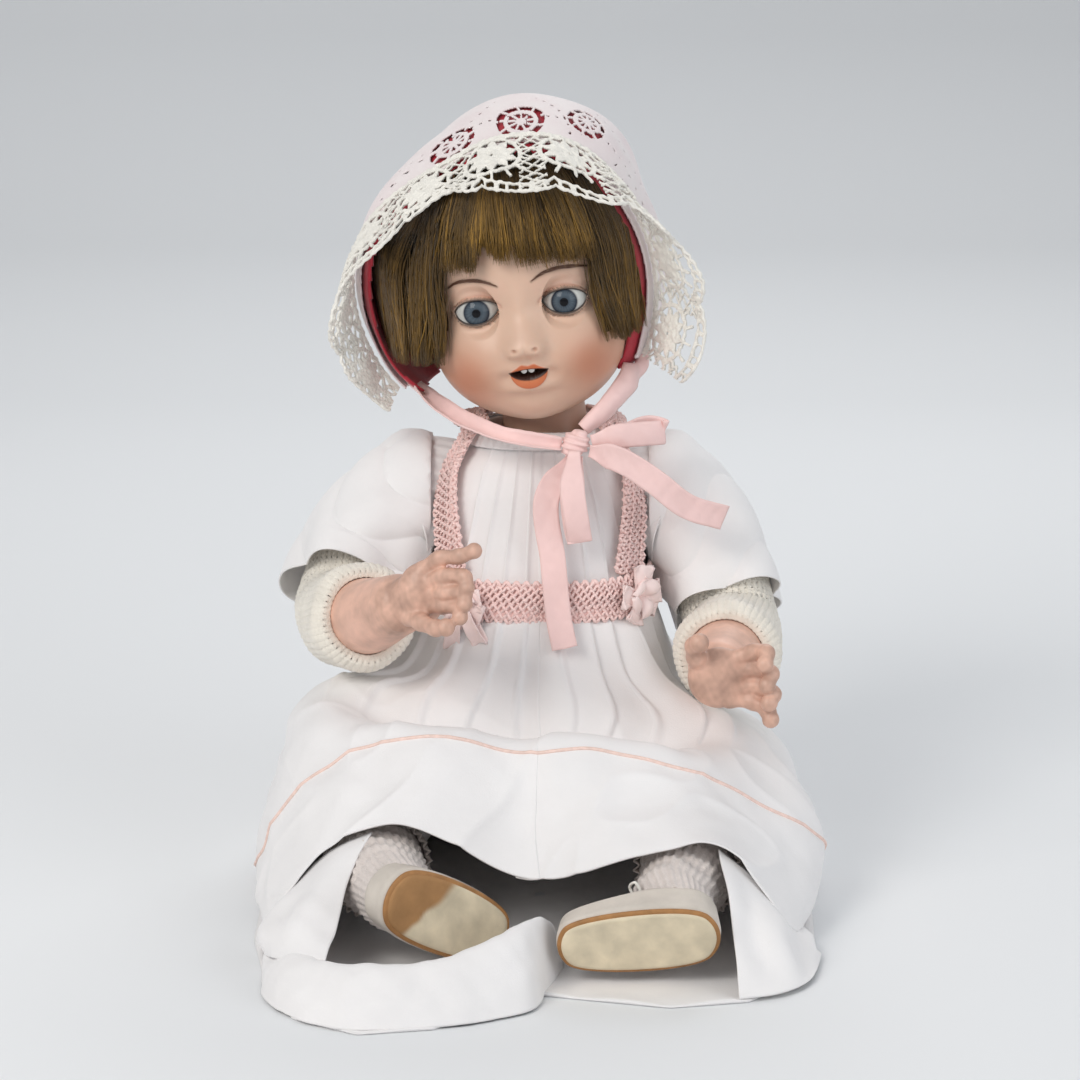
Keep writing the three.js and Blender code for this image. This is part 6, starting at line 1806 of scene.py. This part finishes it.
def sock(name, leg, line):
    """Leg part, foot part and a lace ruffle at the top."""
    def knit(a, v):
        rows = 0.35 * np.sin(a * 30) + 0.5 * np.sin(v * 34 + 2.2 * np.sin(a * 3))
        return rows + 0.5 * np.sin(a * 4 + v * 7)

    shin = limb_grid(line, np.linspace(KNEE, ANKLE, 60), 1.3, 200, knit)
    centre = shin[-1].mean(0)
    turn, origin = foot_frame(leg)
    inside = origin + turn[:, 2] * 12
    down = [centre + (inside - centre) * share + (shin[-1] - centre) * (1 - 0.12 * share)
            for share in np.linspace(0.12, 1, 14)]
    p, along, side, up, radius = line([KNEE])
    a = circle(400)
    ruffle = []
    for k, (back, out) in enumerate(RUFFLE):
        r = radius[0] + out + (0.35 + 0.16 * k) * np.sin(a * 34 + 0.5 * k)
        edge = 0.9 * np.abs(np.sin(a * 17)) * (k == len(RUFFLE) - 1)
        around = np.cos(a)[:, None] * side[0] + np.sin(a)[:, None] * up[0]
        ruffle.append(p[0] - along[0] * (back + edge)[:, None] + r[:, None] * around)
    parts = [shell(np.concatenate([shin, np.array(down)]), 0.8, True), shell(np.array(ruffle), 0.7, True),
             capped(foot_grid(leg, -2.2, FOOT_BASE - 1.6))]
    piece(name + "_sock_knit", gather(parts), "sock", name + "_leg_unit",
          (name + "_sock", name + "_leg"))


def shoe(name, leg):
    """Shoe upper, with its throat cut where the ankle enters."""
    turn, origin = foot_frame(leg)
    p, faces = shell(foot_grid(leg, 0.7, SOLE + 0.4, 200, 40), -0.9, True)
    local = (p - origin) @ turn
    throat = (np.hypot(local[:, 0] - 2.0, local[:, 1]) < THROAT) & (local[:, 2] > 14)
    throat |= (local[:, 2] > 19.3) & (local[:, 0] < 24)
    slit = (np.abs(local[:, 1]) < 3.0) & (local[:, 0] > 8) & (local[:, 2] > 15.5)
    made = (p, faces[~(throat | slit)[faces].any(1)])
    piece(name + "_shoe_kid", made, "upper", name + "_leg_unit", (name + "_shoe_upper",))


def sole(name, leg):
    """Brown edge, and a pale face with wear, brown toward the outer end of the right one."""
    count = 200
    body = name + "_leg_unit"
    rings = [on_foot(leg, np.column_stack([sole_outline(grow, count), np.full(count, z)]))
             for grow, z in WELT]
    piece(name + "_sole_welt", capped(np.array(rings)), "welt", body, (name + "_shoe_sole",))
    rings = []
    for share in np.linspace(0.02, 1, 26):
        q = sole_outline(-0.5, count) * share + np.array([FOOT_LENGTH / 2, 0]) * (1 - share)
        z = -0.55 * (1 - smoothstep(share, 0.93, 1.0)) + 0.12 * wobble(np.column_stack([q, q[:, 0] * 0]), 9)
        rings.append(on_foot(leg, np.column_stack([q, z])))
    rings.append(on_foot(leg, np.column_stack([sole_outline(-0.4, count), np.full(count, 0.35)])))
    face = capped(np.array(rings))
    p = face[0]
    worn = 0.5 + 0.5 * wobble(p, 7, 3.0)
    brown = (smoothstep(p[:, 2] - p[:, 0] * 0.8 - worn * 5, 62, 66) * leg["browned"])[:, None]
    pale = np.array([0.80, 0.69, 0.50]) * (0.86 + 0.2 * worn[:, None])
    tone = pale * (1 - brown) + np.array([0.42, 0.22, 0.085]) * brown
    piece(name + "_sole_face", face, "sole", body, (), tone)


def laces(name, leg):
    """A bow on the shoe, and two bands across its slit."""
    parts = []
    for end in LACE_ENDS:
        tip = LACE_KNOT + np.array(end)
        half = (LACE_KNOT + tip) / 2
        bend = np.array([4.0, end[1] * 0.2, 3.5])
        if abs(end[1]) > 8:
            route = [LACE_KNOT, half + bend, tip, half - bend * 0.3, LACE_KNOT]
        else:
            route = [LACE_KNOT, half + bend * 0.6, tip]
        parts.append(tube(on_foot(leg, curve(route)(np.linspace(0, 1, 60))), 0.65, 6))
    for z, half in ((20.2, 7.5), (18.4, 9.0)):
        route = [(13 + (z - 18) * 2, y, z + 2.2 - 0.035 * y * y) for y in np.linspace(-half, half, 9)]
        parts.append(tube(on_foot(leg, curve(route)(np.linspace(0, 1, 40))), 0.7, 6))
    piece(name + "_shoe_laces", gather(parts), "lace", name + "_leg_unit")


for name, leg in LEGS.items():
    line = limb_line(leg["line"], LEG_RADII, (0, 0, 1))
    drawers(name, leg, line)
    sock(name, leg, line)
    shoe(name, leg)
    sole(name, leg)
    laces(name, leg)
